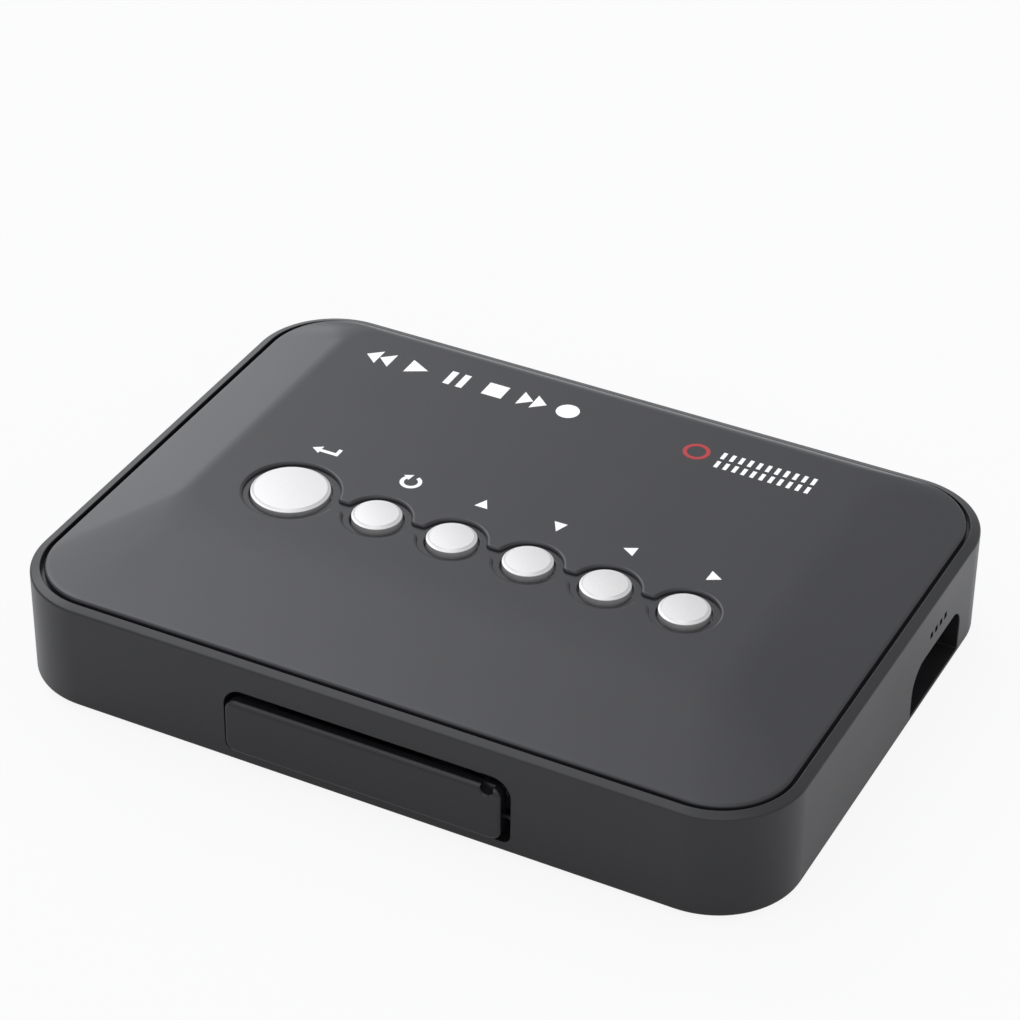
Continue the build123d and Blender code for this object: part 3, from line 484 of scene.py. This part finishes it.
def new_piece(name, points, finish, body="case", hollow=False):
    """A closed piece from a grid of rings, each joined to the next.

    The first and last ring are closed by one face each, or joined to each other where the piece is hollow.
    """
    rings, around = points.shape[:2]
    at = np.arange(rings * around).reshape(rings, around)
    ends = [at[0][::-1].tolist(), at[-1].tolist()]
    if hollow:
        at = np.concatenate((at, at[:1]))
        ends = []
    beside = np.roll(at, -1, axis=1)
    walls = np.stack((at[:-1], beside[:-1], beside[1:], at[1:]), axis=-1).reshape(-1, 4)
    mesh = bpy.data.meshes.new(name)
    mesh.from_pydata(points.reshape(-1, 3), [], walls.tolist() + ends)
    return finished_piece(name, mesh, finish, body)


def finished_piece(name, mesh, finish, body):
    """The mesh as a piece that rides on a body, with its faces turned outwards."""
    mesh.update()
    if signed_volume(mesh) < 0:
        mesh.flip_normals()
    mesh.materials.append(finish)
    piece = bpy.data.objects.new(name, mesh)
    bpy.context.scene.collection.objects.link(piece)
    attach(piece, body)
    return piece


def signed_volume(mesh):
    """The volume inside the mesh, negative where its faces look inwards.

    It is a third of the sum of each face's area times its centre's reach along its normal.
    """
    centres = np.empty(len(mesh.polygons) * 3)
    normals = np.empty(len(mesh.polygons) * 3)
    areas = np.empty(len(mesh.polygons))
    mesh.polygons.foreach_get("center", centres)
    mesh.polygons.foreach_get("normal", normals)
    mesh.polygons.foreach_get("area", areas)
    return ((centres * normals).reshape(-1, 3).sum(axis=1) * areas).sum() / 3


def combine(piece, other, way="DIFFERENCE"):
    """Cuts the other solid out of the piece, or joins it on, and removes the other one."""
    step = piece.modifiers.new("combine", "BOOLEAN")
    step.operation = way
    step.solver = "EXACT"
    step.object = other
    bpy.context.view_layer.update()
    depsgraph = bpy.context.evaluated_depsgraph_get()
    made = bpy.data.meshes.new_from_object(piece.evaluated_get(depsgraph))
    piece.modifiers.clear()
    piece.data = made
    bpy.data.objects.remove(other)


def shade_round(piece, angle=32):
    """Smooth shading up to that angle in degrees, with flat faces kept flat by their size."""
    piece.data.shade_smooth()
    piece.data.set_sharp_from_angle(angle=math.radians(angle))
    weighted = piece.modifiers.new("even normals", "WEIGHTED_NORMAL")
    weighted.mode = "FACE_AREA"
    weighted.keep_sharp = True


def tool_solid(points):
    """A bare closed solid from a grid of rings, to cut or join with."""
    return new_piece("tool", points, shaded_wall_finish)


def reworked(node, name, finish):
    """A copy of a node's mesh with its doubles merged, to be cut and to stand for the node."""
    mesh = bpy.data.meshes.new(name)
    shape = bmesh.new()
    shape.from_mesh(frame["nodes"][node].data)
    bmesh.ops.remove_doubles(shape, verts=shape.verts, dist=0.001 * MM)
    bmesh.ops.dissolve_limit(shape, angle_limit=math.radians(0.05), verts=shape.verts, edges=shape.edges)
    shape.to_mesh(mesh)
    shape.free()
    piece = finished_piece(name, mesh, finish, "case")
    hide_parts(node)
    return piece


def turned(centre, axis, profile, steps=96):
    """A profile turned about an axis, as a grid of rings.

    Each row of the profile is a distance from the axis and a place along it. A point at distance r and angle
    t lies r cos t and r sin t from the centre. The axis is 0, 1 or 2 for X, Y or Z.
    """
    profile = np.asarray(profile)
    around = np.radians(np.arange(steps) * 360 / steps)
    points = np.empty((len(profile), steps, 3))
    points[..., (axis + 1) % 3] = centre[(axis + 1) % 3] + profile[:, :1] * np.cos(around)
    points[..., (axis + 2) % 3] = centre[(axis + 2) % 3] + profile[:, :1] * np.sin(around)
    points[..., axis] = profile[:, 1:]
    return points


# Outlines

def arc(centre, radius, start, end, steps):
    """Points on a circle from one angle to another, both in degrees."""
    turn = np.radians(np.linspace(start, end, steps))
    return np.stack((centre[0] + radius * np.cos(turn), centre[1] + radius * np.sin(turn)), axis=-1)


def rounded_loop(low, high, radii, steps=24):
    """Once round a rectangle with rounded corners, from the right-hand side by the top: four quarter circles.

    radii gives the corners' radii in the same order: top right, top left, bottom left, bottom right.
    """
    corners = (
        (high[0] - radii[0], high[1] - radii[0]),
        (low[0] + radii[1], high[1] - radii[1]),
        (low[0] + radii[2], low[1] + radii[2]),
        (high[0] - radii[3], low[1] + radii[3]),
    )
    quarters = [arc(corner, radii[i], 90 * i, 90 * i + 90, steps) for i, corner in enumerate(corners)]
    return np.concatenate(quarters)


def by_side(right, top, left, bottom, steps=24):
    """One value for each point of such a loop, which drifts from side to side round each corner.

    The drift at a share t of the corner is t t (3 - 2 t), so it starts and ends gently.
    """
    values = (right, top, left, bottom, right)
    share = np.linspace(0, 1, steps)
    drift = share * share * (3 - 2 * share)
    quarters = [values[i] + (values[i + 1] - values[i]) * drift for i in range(4)]
    return np.concatenate(quarters)


def outward(steps=24):
    """The direction away from such a loop at each of its points."""
    turn = np.radians(np.concatenate([np.linspace(90 * i, 90 * i + 90, steps) for i in range(4)]))
    return np.stack((np.cos(turn), np.sin(turn)), axis=-1)


def circle_loop(centre, radius, steps=96):
    """Once round a circle."""
    return arc(centre, radius, 0, 360, steps + 1)[:-1]


def flat_ring(loop, z):
    """A loop of plan points at one height, or at one height for each point."""
    return np.column_stack((loop, np.broadcast_to(z, len(loop))))


def upright_ring(loop, y):
    """A loop of points in the front view at one depth, or at one depth for each point."""
    return np.column_stack((loop[:, 0], np.broadcast_to(y, len(loop)), loop[:, 1]))


def side_ring(loop, x):
    """A loop of points in the view from the right at one place along X."""
    return np.column_stack((np.broadcast_to(x, len(loop)), loop[:, 0], loop[:, 1]))


def block(low, high):
    """A plain box as two rings, from its lowest to its highest corner."""
    loop = np.array(((low[0], low[1]), (high[0], low[1]), (high[0], high[1]), (low[0], high[1])))
    return np.stack((flat_ring(loop, low[2]), flat_ring(loop, high[2])))


def chain_loop(grow, steps=32):
    """The outline of the recess: discs round the caps, joined by necks, all grown outwards by one distance.

    Each neck meets each disc in a small round of its own. Its centre lies where a circle that touches the
    disc from outside also touches the neck's edge, so growing the outline moves no centre.
    """
    centres = [sum(corner.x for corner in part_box(f"button_{name}")) / 2 for name in button_names]
    radii = [cap_radius(name) + recess_border for name in button_names]
    upper = []
    for i, (x, radius) in enumerate(zip(centres, radii)):
        rise = math.degrees(math.asin((half_neck + neck_round) / (radius + neck_round)))
        reach = (radius + neck_round) * math.cos(math.radians(rise))
        first, last = i == 0, i == len(centres) - 1
        if not first:
            round_centre = (x - reach, row_y + half_neck + neck_round)
            upper.append(arc(round_centre, neck_round - grow, 270, 360 - rise, steps // 4))
        upper.append(arc((x, row_y), radius + grow, 180 if first else 180 - rise, 0 if last else rise, steps))
        if not last:
            round_centre = (x + reach, row_y + half_neck + neck_round)
            upper.append(arc(round_centre, neck_round - grow, 180 + rise, 270, steps // 4))
    upper = np.concatenate(upper)
    lower = upper[-2:0:-1].copy()
    lower[:, 1] = 2 * row_y - lower[:, 1]
    return np.concatenate((upper, lower))


def cap_radius(name):
    """The radius of a cap's side, which is its flange's less the flange's width."""
    low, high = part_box(f"button_{name}")
    return (high.x - low.x) / 2 - flange_width


def flared(loop_at, start, face, radius, ring=flat_ring):
    """Rings of a cutter whose walls run straight and flare out by a quarter round at the face that they cut.

    loop_at(grow) gives the outline grown by a distance. A ring at angle a of the round lies r (1 - sin a)
    short of the face, and is grown by r (1 - cos a). The cutter goes on past the face.
    """
    way = math.copysign(1, face - start)
    rings = [ring(loop_at(0.0), start)]
    for a in np.radians(np.linspace(0, 90, 7)):
        rings.append(ring(loop_at(radius * (1 - math.cos(a))), face - way * radius * (1 - math.sin(a))))
    rings.append(ring(loop_at(radius), face + way * radius))
    return np.stack(rings)


def window(low, high, radii):
    """The outline of a rounded rectangle, as a function of how far it is grown."""
    def loop_at(grow):
        grown_low = (low[0] - grow, low[1] - grow)
        grown_high = (high[0] + grow, high[1] + grow)
        return rounded_loop(grown_low, grown_high, [radius + grow for radius in radii])
    return loop_at


def disc(centre, radius):
    """The outline of a round hole, as a function of how far it is grown."""
    def loop_at(grow):
        return circle_loop(centre, radius + grow)
    return loop_at


# Shell and port panel

def shell_section():
    """The section of the wall, as insets from the outline and heights, from the inside of its foot and round.

    It goes up the wall, over the crease of the rim, up the rim's slope, round its inner edge and down to the
    ledge. An arc's point at angle a lies r (1 - cos a) inside its outermost point, and r sin a over its
    centre.
    """
    tilt = math.radians(90) - math.atan(rim_slope)
    section = [(wall_thickness, shell_low.z)]
    for a in np.radians(np.linspace(0, 90, 6)):
        section.append((foot_round * (1 - math.sin(a)), shell_low.z + foot_round * (1 - math.cos(a))))
    crease_centre = wall_top_z - crease_round * math.tan(tilt / 2)
    for a in np.linspace(0, tilt, 6):
        section.append((crease_round * (1 - math.cos(a)), crease_centre + crease_round * math.sin(a)))
    rim_width = by_side(rim_side, rim_side, rim_side, rim_front)
    slope_end = rim_width - rim_edge_round * (1 + math.cos(tilt))
    edge_centre = wall_top_z + rim_slope * slope_end - rim_edge_round * math.sin(tilt)
    for a in np.linspace(tilt, math.pi, 7):
        inset = rim_width - rim_edge_round * (1 + math.cos(a))
        section.append((inset, edge_centre + rim_edge_round * math.sin(a)))
    section += [
        (rim_width, plate_ledge_z),
        (ledge_inset, plate_ledge_z),
        (ledge_inset, plate_ledge_z - ledge_thickness),
        (wall_thickness, plate_ledge_z - ledge_thickness),
    ]
    return section


def notch_hollow():
    """Rings of the side notch: a window that is rounded on top, and scooped out towards its front.

    A ring at angle a of the scoop lies r (1 - sin a) off the floor, and starts r (1 - cos a) behind the
    notch's front.
    """
    rings = []
    for a in np.radians(np.linspace(90, 0, 10)):
        front = notch_low[0] + notch_scoop * (1 - math.cos(a))
        loop = rounded_loop((front, notch_low[1]), notch_high, notch_rounds)
        rings.append(side_ring(loop, notch_floor_x + notch_scoop * (1 - math.sin(a))))
    opening = window(notch_low, notch_high, notch_rounds)
    mouth = flared(opening, notch_floor_x + notch_scoop, shell_high.x, notch_edge_round, side_ring)
    return np.concatenate((rings, mouth[1:]))


def add_notch_wall(shell):
    """The thicker block behind the side notch."""
    low = (notch_floor_x - notch_wall, notch_low[0] - notch_wall, shell_low.z + notch_wall_lift)
    high = (shell_inside[0] + sunk, notch_high[0] + notch_wall, notch_high[1] + notch_wall)
    combine(shell, tool_solid(block(low, high)), "UNION")


def add_stops(shell):
    """Small stops inside the walls for the base plate. The right-hand wall has one less, beside the notch.

    Each is given by the axis across its wall, the wall's side, and its place along the wall.
    """
    places = [(0, -1, -stop_spread_y), (0, -1, stop_spread_y), (0, 1, -stop_spread_y)]
    places += [(1, side, along) for along in (-stop_spread_x, stop_spread_x) for side in (-1, 1)]
    for axis, side, along in places:
        across = sorted((side * (shell_inside[axis] - stop_width), side * (shell_inside[axis] + sunk)))
        spans = [across, (along - stop_length / 2, along + stop_length / 2)]
        if axis == 1:
            spans.reverse()
        low = (spans[0][0], spans[1][0], stop_low_z)
        high = (spans[0][1], spans[1][1], stop_low_z + stop_height)
        combine(shell, tool_solid(block(low, high)), "UNION")


def engrave_bars(shell):
    """Plain engraved bars above the side notch."""
    for y in engraved_places:
        low = (shell_high.x - engraved_depth, y - engraved_width / 2, engraved_low_z)
        high = (shell_high.x + engraved_depth, y + engraved_width / 2, engraved_low_z + engraved_width)
        combine(shell, tool_solid(block(low, high)))


def cut_host_window(shell):
    """The host socket's window in the floor of the side notch."""
    usb_low, usb_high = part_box("usb_shell")
    gap = Vector((0, host_gap, host_gap))
    low = (notch_floor_x - notch_wall - sunk, *(usb_low - gap).yz)
    high = (notch_floor_x + sunk, *(usb_high + gap).yz)
    combine(shell, tool_solid(block(low, high)))


def cut_back_windows(shell):
    """The sockets' windows in the back wall: one with slanted lower corners, and two round ones."""
    inside = shell_inside[1] - sunk
    video_low, video_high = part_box("video_shell")
    left, right = video_low.x - video_gap, video_high.x + video_gap
    foot, top = video_low.z - video_gap, video_high.z + video_gap
    video = np.array((
        (right, top),
        (left, top),
        (left, foot + video_slant),
        (left + video_slant, foot),
        (right - video_slant, foot),
        (right, foot + video_slant),
    ))
    rings = (upright_ring(video, inside), upright_ring(video, shell_high.y + MM))
    combine(shell, tool_solid(np.stack(rings)))
    for node, radius in round_windows:
        middle = sum(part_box(node), Vector()) / 2
        hole = disc((middle.x, middle.z), radius)
        combine(shell, tool_solid(flared(hole, inside, shell_high.y, round_window_edge, upright_ring)))


def cut_flap_opening(shell):
    """The opening for the flap, and the holes for its pins in the opening's ends."""
    opening = window(opening_low, opening_high, opening_rounds)
    inside = shell_low.y + wall_thickness + sunk
    combine(shell, tool_solid(flared(opening, inside, shell_low.y, opening_edge_round, upright_ring)))
    hole_radius = pin_radius + pin_gap
    pin_hole = ((hole_radius, flap_low.x - pin_gap), (hole_radius, flap_high.x + pin_gap))
    combine(shell, tool_solid(turned(flap_pivot, 0, pin_hole, 48)))


def make_shell():
    """Main shell: a hollow ring of the wall's section, with a block behind the notch, stops and openings."""
    outline = rounded_loop(shell_low.xy, shell_high.xy, (shell_corner,) * 4)
    rings = []
    for inset, z in shell_section():
        inset = np.broadcast_to(inset, len(outline))
        rings.append(flat_ring(outline - outward() * inset[:, None], z))
    shell = new_piece("main_shell_walls", np.stack(rings), shaded_wall_finish, hollow=True)
    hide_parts("main_shell")
    add_notch_wall(shell)
    add_stops(shell)
    combine(shell, tool_solid(notch_hollow()))
    engrave_bars(shell)
    cut_host_window(shell)
    cut_back_windows(shell)
    cut_flap_opening(shell)
    shade_round(shell)


def make_panel():
    """Port panel: its solid, with the bay made as tall as the opening."""
    panel = reworked("port_panel", "port_panel_tray", textured_finish)
    bay = window(opening_low, opening_high, opening_rounds)
    bay_end = panel_low.y + bay_depth - bay_short
    combine(panel, tool_solid(flared(bay, bay_end, panel_low.y, bay_edge_round, upright_ring)))
    shade_round(panel)


# Top plate

def slope_height(share, softness):
    """Height of a slope as a share of its rise, at a share of its width from the edge.

    Straight up to one softness before the crease, then a parabola that ends level one softness after it.
    """
    bend = 1 - (1 + softness - share) ** 2 / (4 * softness)
    return np.where(share < 1 - softness, share, bend)


def make_plate():
    """Top plate: a flat field, four slopes that meet it in creases, the recess with its holes, and bosses."""
    hollow_low = plate_low.xy + Vector((plate_band, plate_band))
    hollow_high = plate_high.xy - Vector((plate_band, plate_band))
    hollow = rounded_loop(hollow_low, hollow_high, (plate_corner - plate_band,) * 4)
    outer_high = plate_high.xy + Vector((0, plate_back_reach))
    outer = rounded_loop(plate_low.xy, outer_high, (plate_corner,) * 4)
    rings = [
        flat_ring(hollow, plate_under_z),
        flat_ring(hollow, plate_ledge_z),
        flat_ring(outer, plate_ledge_z),
    ]
    reach = slope_widths * (1 + slope_softness)
    field_low = (plate_low.x + reach[2], plate_low.y + reach[3])
    field_high = (plate_high.x - reach[0], outer_high.y - reach[1])
    field = rounded_loop(field_low, field_high, (field_round,) * 4)
    soft = by_side(*slope_softness)
    # The edge's round ends where it is as steep as the slope that goes on from it: six passes find that angle
    edge_z = plate_edge_z + by_side(0, plate_back_lift, 0, 0)
    turn = np.full(len(outer), math.pi / 2)
    for _ in range(6):
        start = outer - outward() * (plate_edge_round * (1 - np.cos(turn)))[:, None]
        start_z = edge_z - plate_edge_round * (1 - np.sin(turn))
        gradient = (plate_top - start_z) * (1 + soft) / np.linalg.norm(field - start, axis=1)
        turn = np.arctan2(1, gradient)
    for share in np.linspace(0, 1, 8):
        loop = outer - outward() * (plate_edge_round * (1 - np.cos(turn * share)))[:, None]
        rings.append(flat_ring(loop, edge_z - plate_edge_round * (1 - np.sin(turn * share))))
    start, start_z = rings[-1][:, :2], rings[-1][:, 2]
    for share in np.linspace(0, 1, slope_rings + 1)[1:]:
        loop = start + (field - start) * share
        rise = slope_height(share * (1 + soft), soft)
        rings.append(flat_ring(loop, start_z + (plate_top - start_z) * rise))
    plate = new_piece("crowned_plate", np.stack(rings), plate_finish)
    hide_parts("top_plate")
    combine(plate, tool_solid(flared(chain_loop, recess_floor, plate_top, recess_edge_round)))
    for name in button_names:
        x = sum(corner.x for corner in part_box(f"button_{name}")) / 2
        if name == "return":
            x += large_cap_shift
        hole = disc((x, row_y), cap_radius(name) + cap_gap)
        combine(plate, tool_solid(flared(hole, plate_ledge_z - MM, recess_floor, hole_edge_round)))
    boss = (
        (boss_radius, plate_under_z + boss_sunk),
        (boss_radius, boss_low_z),
        (boss_bore, boss_low_z),
        (boss_bore, boss_bore_top),
    )
    for x in (-boss_x, boss_x):
        for y in (-boss_y, boss_y):
            combine(plate, tool_solid(turned((x, y, 0), 2, boss, 64)), "UNION")
    shade_round(plate)


# Buttons

def make_cap(name):
    """Button cap: a profile turned about its own axis, with a shallow dome inside a bevelled ring."""
    low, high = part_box(f"button_{name}")
    large = name == "return"
    top_z = high.z - large * large_cap_drop
    radius = cap_radius(name) + large * large_cap_growth
    inner = radius - cap_bevel
    across = np.linspace(cap_tip_share, 1, 14)
    crown = np.stack((inner * across, top_z - cap_dome * across ** 2), axis=-1)
    turn = np.radians(np.linspace(90, 0, 7))
    edge_z = top_z - cap_dome - cap_bevel_drop - cap_edge_round
    rim = np.stack((
        radius - cap_edge_round + cap_edge_round * np.cos(turn),
        edge_z + cap_edge_round * np.sin(turn),
    ), axis=-1)
    flange = radius + flange_width
    under = np.array((
        (radius, flange_top_z),
        (flange, flange_top_z),
        (flange, flange_top_z - flange_thickness),
        (stem_radius, flange_top_z - flange_thickness),
        (stem_radius, low.z),
    ))
    profile = np.concatenate((crown, rim, under))
    centre = ((low.x + high.x) / 2 + large * large_cap_shift, row_y, 0)
    cap = new_piece(f"cap_{name}", turned(centre, 2, profile), cap_finish, f"{name}_button")
    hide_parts(f"button_{name}")
    shade_round(cap)


# Flap

def make_flap():
    """Hinged flap: an outline drawn in by quarter rounds towards the front, with ears, pins and a nail notch.

    A ring at angle a of a round of radius r lies r (1 - cos a) inside the outline and r (1 - sin a) behind
    the front. The radius drifts from one side's to the next along each corner, and is largest on top.
    """
    half = flap_high.x - pin_reach
    toe_z = flap_low.z - flap_drop
    brow_z = flap_high.z + flap_rise
    outline = rounded_loop((-half, toe_z), (half, brow_z), (flap_corner,) * 4)
    rounds = by_side(flap_edge_round, flap_brow_round, flap_edge_round, flap_edge_round)
    rings = [upright_ring(outline, flap_low.y + flap_thickness)]
    for a in np.radians(np.linspace(0, 90, 10)):
        loop = outline - outward() * (rounds * (1 - math.cos(a)))[:, None]
        rings.append(upright_ring(loop, flap_low.y + rounds * (1 - math.sin(a))))
    flap = new_piece("hinged_flap", np.stack(rings), flap_finish, "flap")
    for side in (-1, 1):
        ear = ((ear_radius, side * (half - ear_width)), (ear_radius, side * half))
        pin = ((pin_radius, side * (half - ear_width / 2)), (pin_radius, side * flap_high.x))
        combine(flap, tool_solid(turned(flap_pivot, 0, ear, 64)), "UNION")
        combine(flap, tool_solid(turned(flap_pivot, 0, pin, 48)), "UNION")
    notch = (
        (nail_notch_radius, flap_low.y + nail_notch_depth),
        (nail_notch_radius, flap_low.y + nail_notch_flare),
        (nail_notch_radius + nail_notch_flare, flap_low.y),
        (nail_notch_radius + nail_notch_flare, flap_low.y - MM),
    )
    notch_centre = (half - nail_notch_inset, 0, brow_z - nail_notch_drop)
    combine(flap, tool_solid(turned(notch_centre, 1, notch, 64)))
    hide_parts("front_flap")
    shade_round(flap)


# Printed signs

def printed(name, outlines, ink):
    """Flat shapes printed on the plate's field, from outlines in millimetres, each a closed film of ink."""
    points, faces, base = [], [], 0
    for outline in outlines:
        flat = np.asarray(outline) * MM
        count = len(flat)
        low = base + np.arange(count)
        high = low + count
        points += [flat_ring(flat, plate_top - ink_thickness), flat_ring(flat, plate_top + ink_thickness)]
        faces += np.stack((low, np.roll(low, -1), np.roll(high, -1), high), axis=-1).tolist()
        faces += [low[::-1].tolist(), high.tolist()]
        base += 2 * count
    mesh = bpy.data.meshes.new(name)
    mesh.from_pydata(np.concatenate(points), [], faces)
    finished_piece(name, mesh, ink, "case")


def band(centre, inner, outer, start, end, steps=40):
    """A stretch of a flat ring: out along one circle and back along the other."""
    return np.concatenate((arc(centre, outer, start, end, steps), arc(centre, inner, end, start, steps)))


def bar(x, y, width, height):
    """An upright rectangle about a point."""
    right, up = width / 2, height / 2
    return [(x - right, y - up), (x + right, y - up), (x + right, y + up), (x - right, y + up)]


def wedge(x, y, width, height):
    """A triangle about a point that points along X, or against it where its width is negative."""
    return [(x - width / 2, y - height / 2), (x + width / 2, y), (x - width / 2, y + height / 2)]


def make_signs():
    """The plain signs behind the caps, at their places in millimetres."""
    return_arrow = [
        (-36.4, 6.0), (-34.95, 6.95), (-34.95, 6.2), (-32.55, 6.2), (-32.55, 7.35),
        (-31.95, 7.35), (-31.95, 5.55), (-34.95, 5.55), (-34.95, 5.05),
    ]
    ring = band((-19.0, 4.8), 1.05, 1.68, 70, -213)
    head = [(-20.75, 5.95), (-19.4, 6.6), (-19.6, 5.1)]
    printed("sign_return", [return_arrow], white_ink)
    printed("sign_repeat", [ring, head], white_ink)
    printed("sign_up", [[(-7.9, 3.85), (-5.8, 3.85), (-6.9, 5.9)]], white_ink)
    printed("sign_down", [[(4.3, 5.75), (5.6, 3.5), (6.4, 5.75)]], white_ink)
    printed("sign_left", [[(16.05, 4.36), (18.0, 3.15), (18.0, 5.35)]], white_ink)
    printed("sign_right", [[(31.75, 3.9), (29.76, 5.2), (29.76, 2.8)]], white_ink)


def make_marks():
    """Plain marks along the back: six transport symbols, and a red ring beside two rows of bars."""
    y, size = 32.8, 3.7
    rewind = [wedge(-40.9, y, -2.2, size), wedge(-38.6, y, -2.2, size)]
    play = [wedge(-32.9, y, 3.4, size)]
    pause = [bar(-27.2, y, 1.1, size), bar(-25.0, y, 1.1, size)]
    stop = [bar(-19.4, y, 3.4, size - 0.3)]
    forward = [wedge(-14.0, y, 2.2, size), wedge(-11.7, y, 2.2, size)]
    record = [circle_loop((-7.0, y), size / 2, 48)]
    printed("marks_transport", rewind + play + pause + stop + forward + record, white_ink)
    printed("mark_ring", [band((14.95, 32.0), 1.45, 2.1, 0, 359.9, 80)], red_ink)
    first, pitch, count, next_row = 19.1, 1.46, 11, 30.35
    bars = [bar(first + pitch * i, row, 0.62, 1.75) for row in (y, next_row) for i in range(count)]
    printed("marks_rows", bars, white_ink)


make_signs()
make_marks()
make_shell()
make_panel()
make_plate()
make_flap()
for button_name in button_names:
    make_cap(button_name)


# Camera: its azimuth, elevation and roll in degrees, its lens and sensor in millimetres, its place in metres
camera_turns = (26.771, 34.796, 0.699)
camera_lens = 121.283
camera_sensor = 36
camera_place = (0.18300, -0.36297, 0.30618)

# Banks of light in the room: the way to the middle of each, its strength and how narrow it is
light_banks = (
    ((-0.636, 0.694, 0.336), 2.20, 90.0),
    ((-0.600, 0.366, 0.712), 3.29, 22.5),
    ((-0.050, -0.350, 0.935), 1.10, 8.0),
)
room_level = 0.66

# Half the floor's width, in metres
floor_reach = 3.0


def make_camera():
    """The photograph's viewpoint: turned to the right of the front, looking down, with a slight roll."""
    azimuth, elevation, roll = (math.radians(angle) for angle in camera_turns)
    right = Vector((math.cos(azimuth), math.sin(azimuth), 0))
    back = Vector((
        math.sin(azimuth) * math.cos(elevation),
        -math.cos(azimuth) * math.cos(elevation),
        math.sin(elevation),
    ))
    up = back.cross(right)
    turned_right = right * math.cos(roll) + up * math.sin(roll)
    turned_up = up * math.cos(roll) - right * math.sin(roll)
    data = bpy.data.cameras.new("camera")
    data.sensor_width = camera_sensor
    data.lens = camera_lens
    data.clip_start = 0.01
    camera = bpy.data.objects.new("camera", data)
    place = Matrix((turned_right, turned_up, back)).transposed().to_4x4()
    place.translation = Vector(camera_place)
    camera.matrix_world = place
    bpy.context.scene.collection.objects.link(camera)
    bpy.context.scene.camera = camera


def make_room():
    """An even white room with soft banks of light: low and high at the back left, and overhead.

    A bank adds strength x exp(narrowness x (c - 1)), where c is the cosine of the angle between the way into
    the room and the way to the middle of the bank.
    """
    world = bpy.data.worlds.new("white_room")
    world.use_nodes = True
    tree = world.node_tree
    way = add_node(tree, "ShaderNodeTexCoord").outputs["Generated"]
    level = None
    for middle, strength, narrowness in light_banks:
        cosine = add_node(tree, "ShaderNodeVectorMath", {1: middle}, {0: way}, operation="DOT_PRODUCT")
        power = add_node(
            tree,
            "ShaderNodeMath",
            {1: narrowness, 2: -narrowness},
            {0: cosine.outputs["Value"]},
            operation="MULTIPLY_ADD",
        )
        bell = add_node(tree, "ShaderNodeMath", links={0: power.outputs[0]}, operation="EXPONENT")
        total = add_node(
            tree,
            "ShaderNodeMath",
            {1: strength, 2: room_level},
            {0: bell.outputs[0]},
            operation="MULTIPLY_ADD",
        )
        if level:
            tree.links.new(level, total.inputs[2])
        level = total.outputs[0]
    room = tree.nodes["Background"]
    room.inputs["Color"].default_value = to_linear("#FAFBFF")
    tree.links.new(level, room.inputs["Strength"])
    backdrop = add_node(tree, "ShaderNodeBackground", {"Color": (1, 1, 1, 1), "Strength": 1.0})
    seen = add_node(tree, "ShaderNodeLightPath")
    blend = add_node(tree, "ShaderNodeMixShader", links={"Fac": seen.outputs["Is Camera Ray"]})
    tree.links.new(room.outputs["Background"], blend.inputs[1])
    tree.links.new(backdrop.outputs["Background"], blend.inputs[2])
    tree.links.new(blend.outputs["Shader"], tree.nodes["World Output"].inputs["Surface"])
    bpy.context.scene.world = world


def make_floor():
    """White paper sweep under the object."""
    corners = [(x * floor_reach, y * floor_reach, 0) for x, y in ((-1, -1), (1, -1), (1, 1), (-1, 1))]
    mesh = bpy.data.meshes.new("floor")
    mesh.from_pydata(corners, [], [(0, 1, 2, 3)])
    mesh.materials.append(paper_floor())
    floor = bpy.data.objects.new("floor", mesh)
    bpy.context.scene.collection.objects.link(floor)


make_camera()
make_room()
make_floor()
bpy.context.scene.view_settings.view_transform = "Standard"
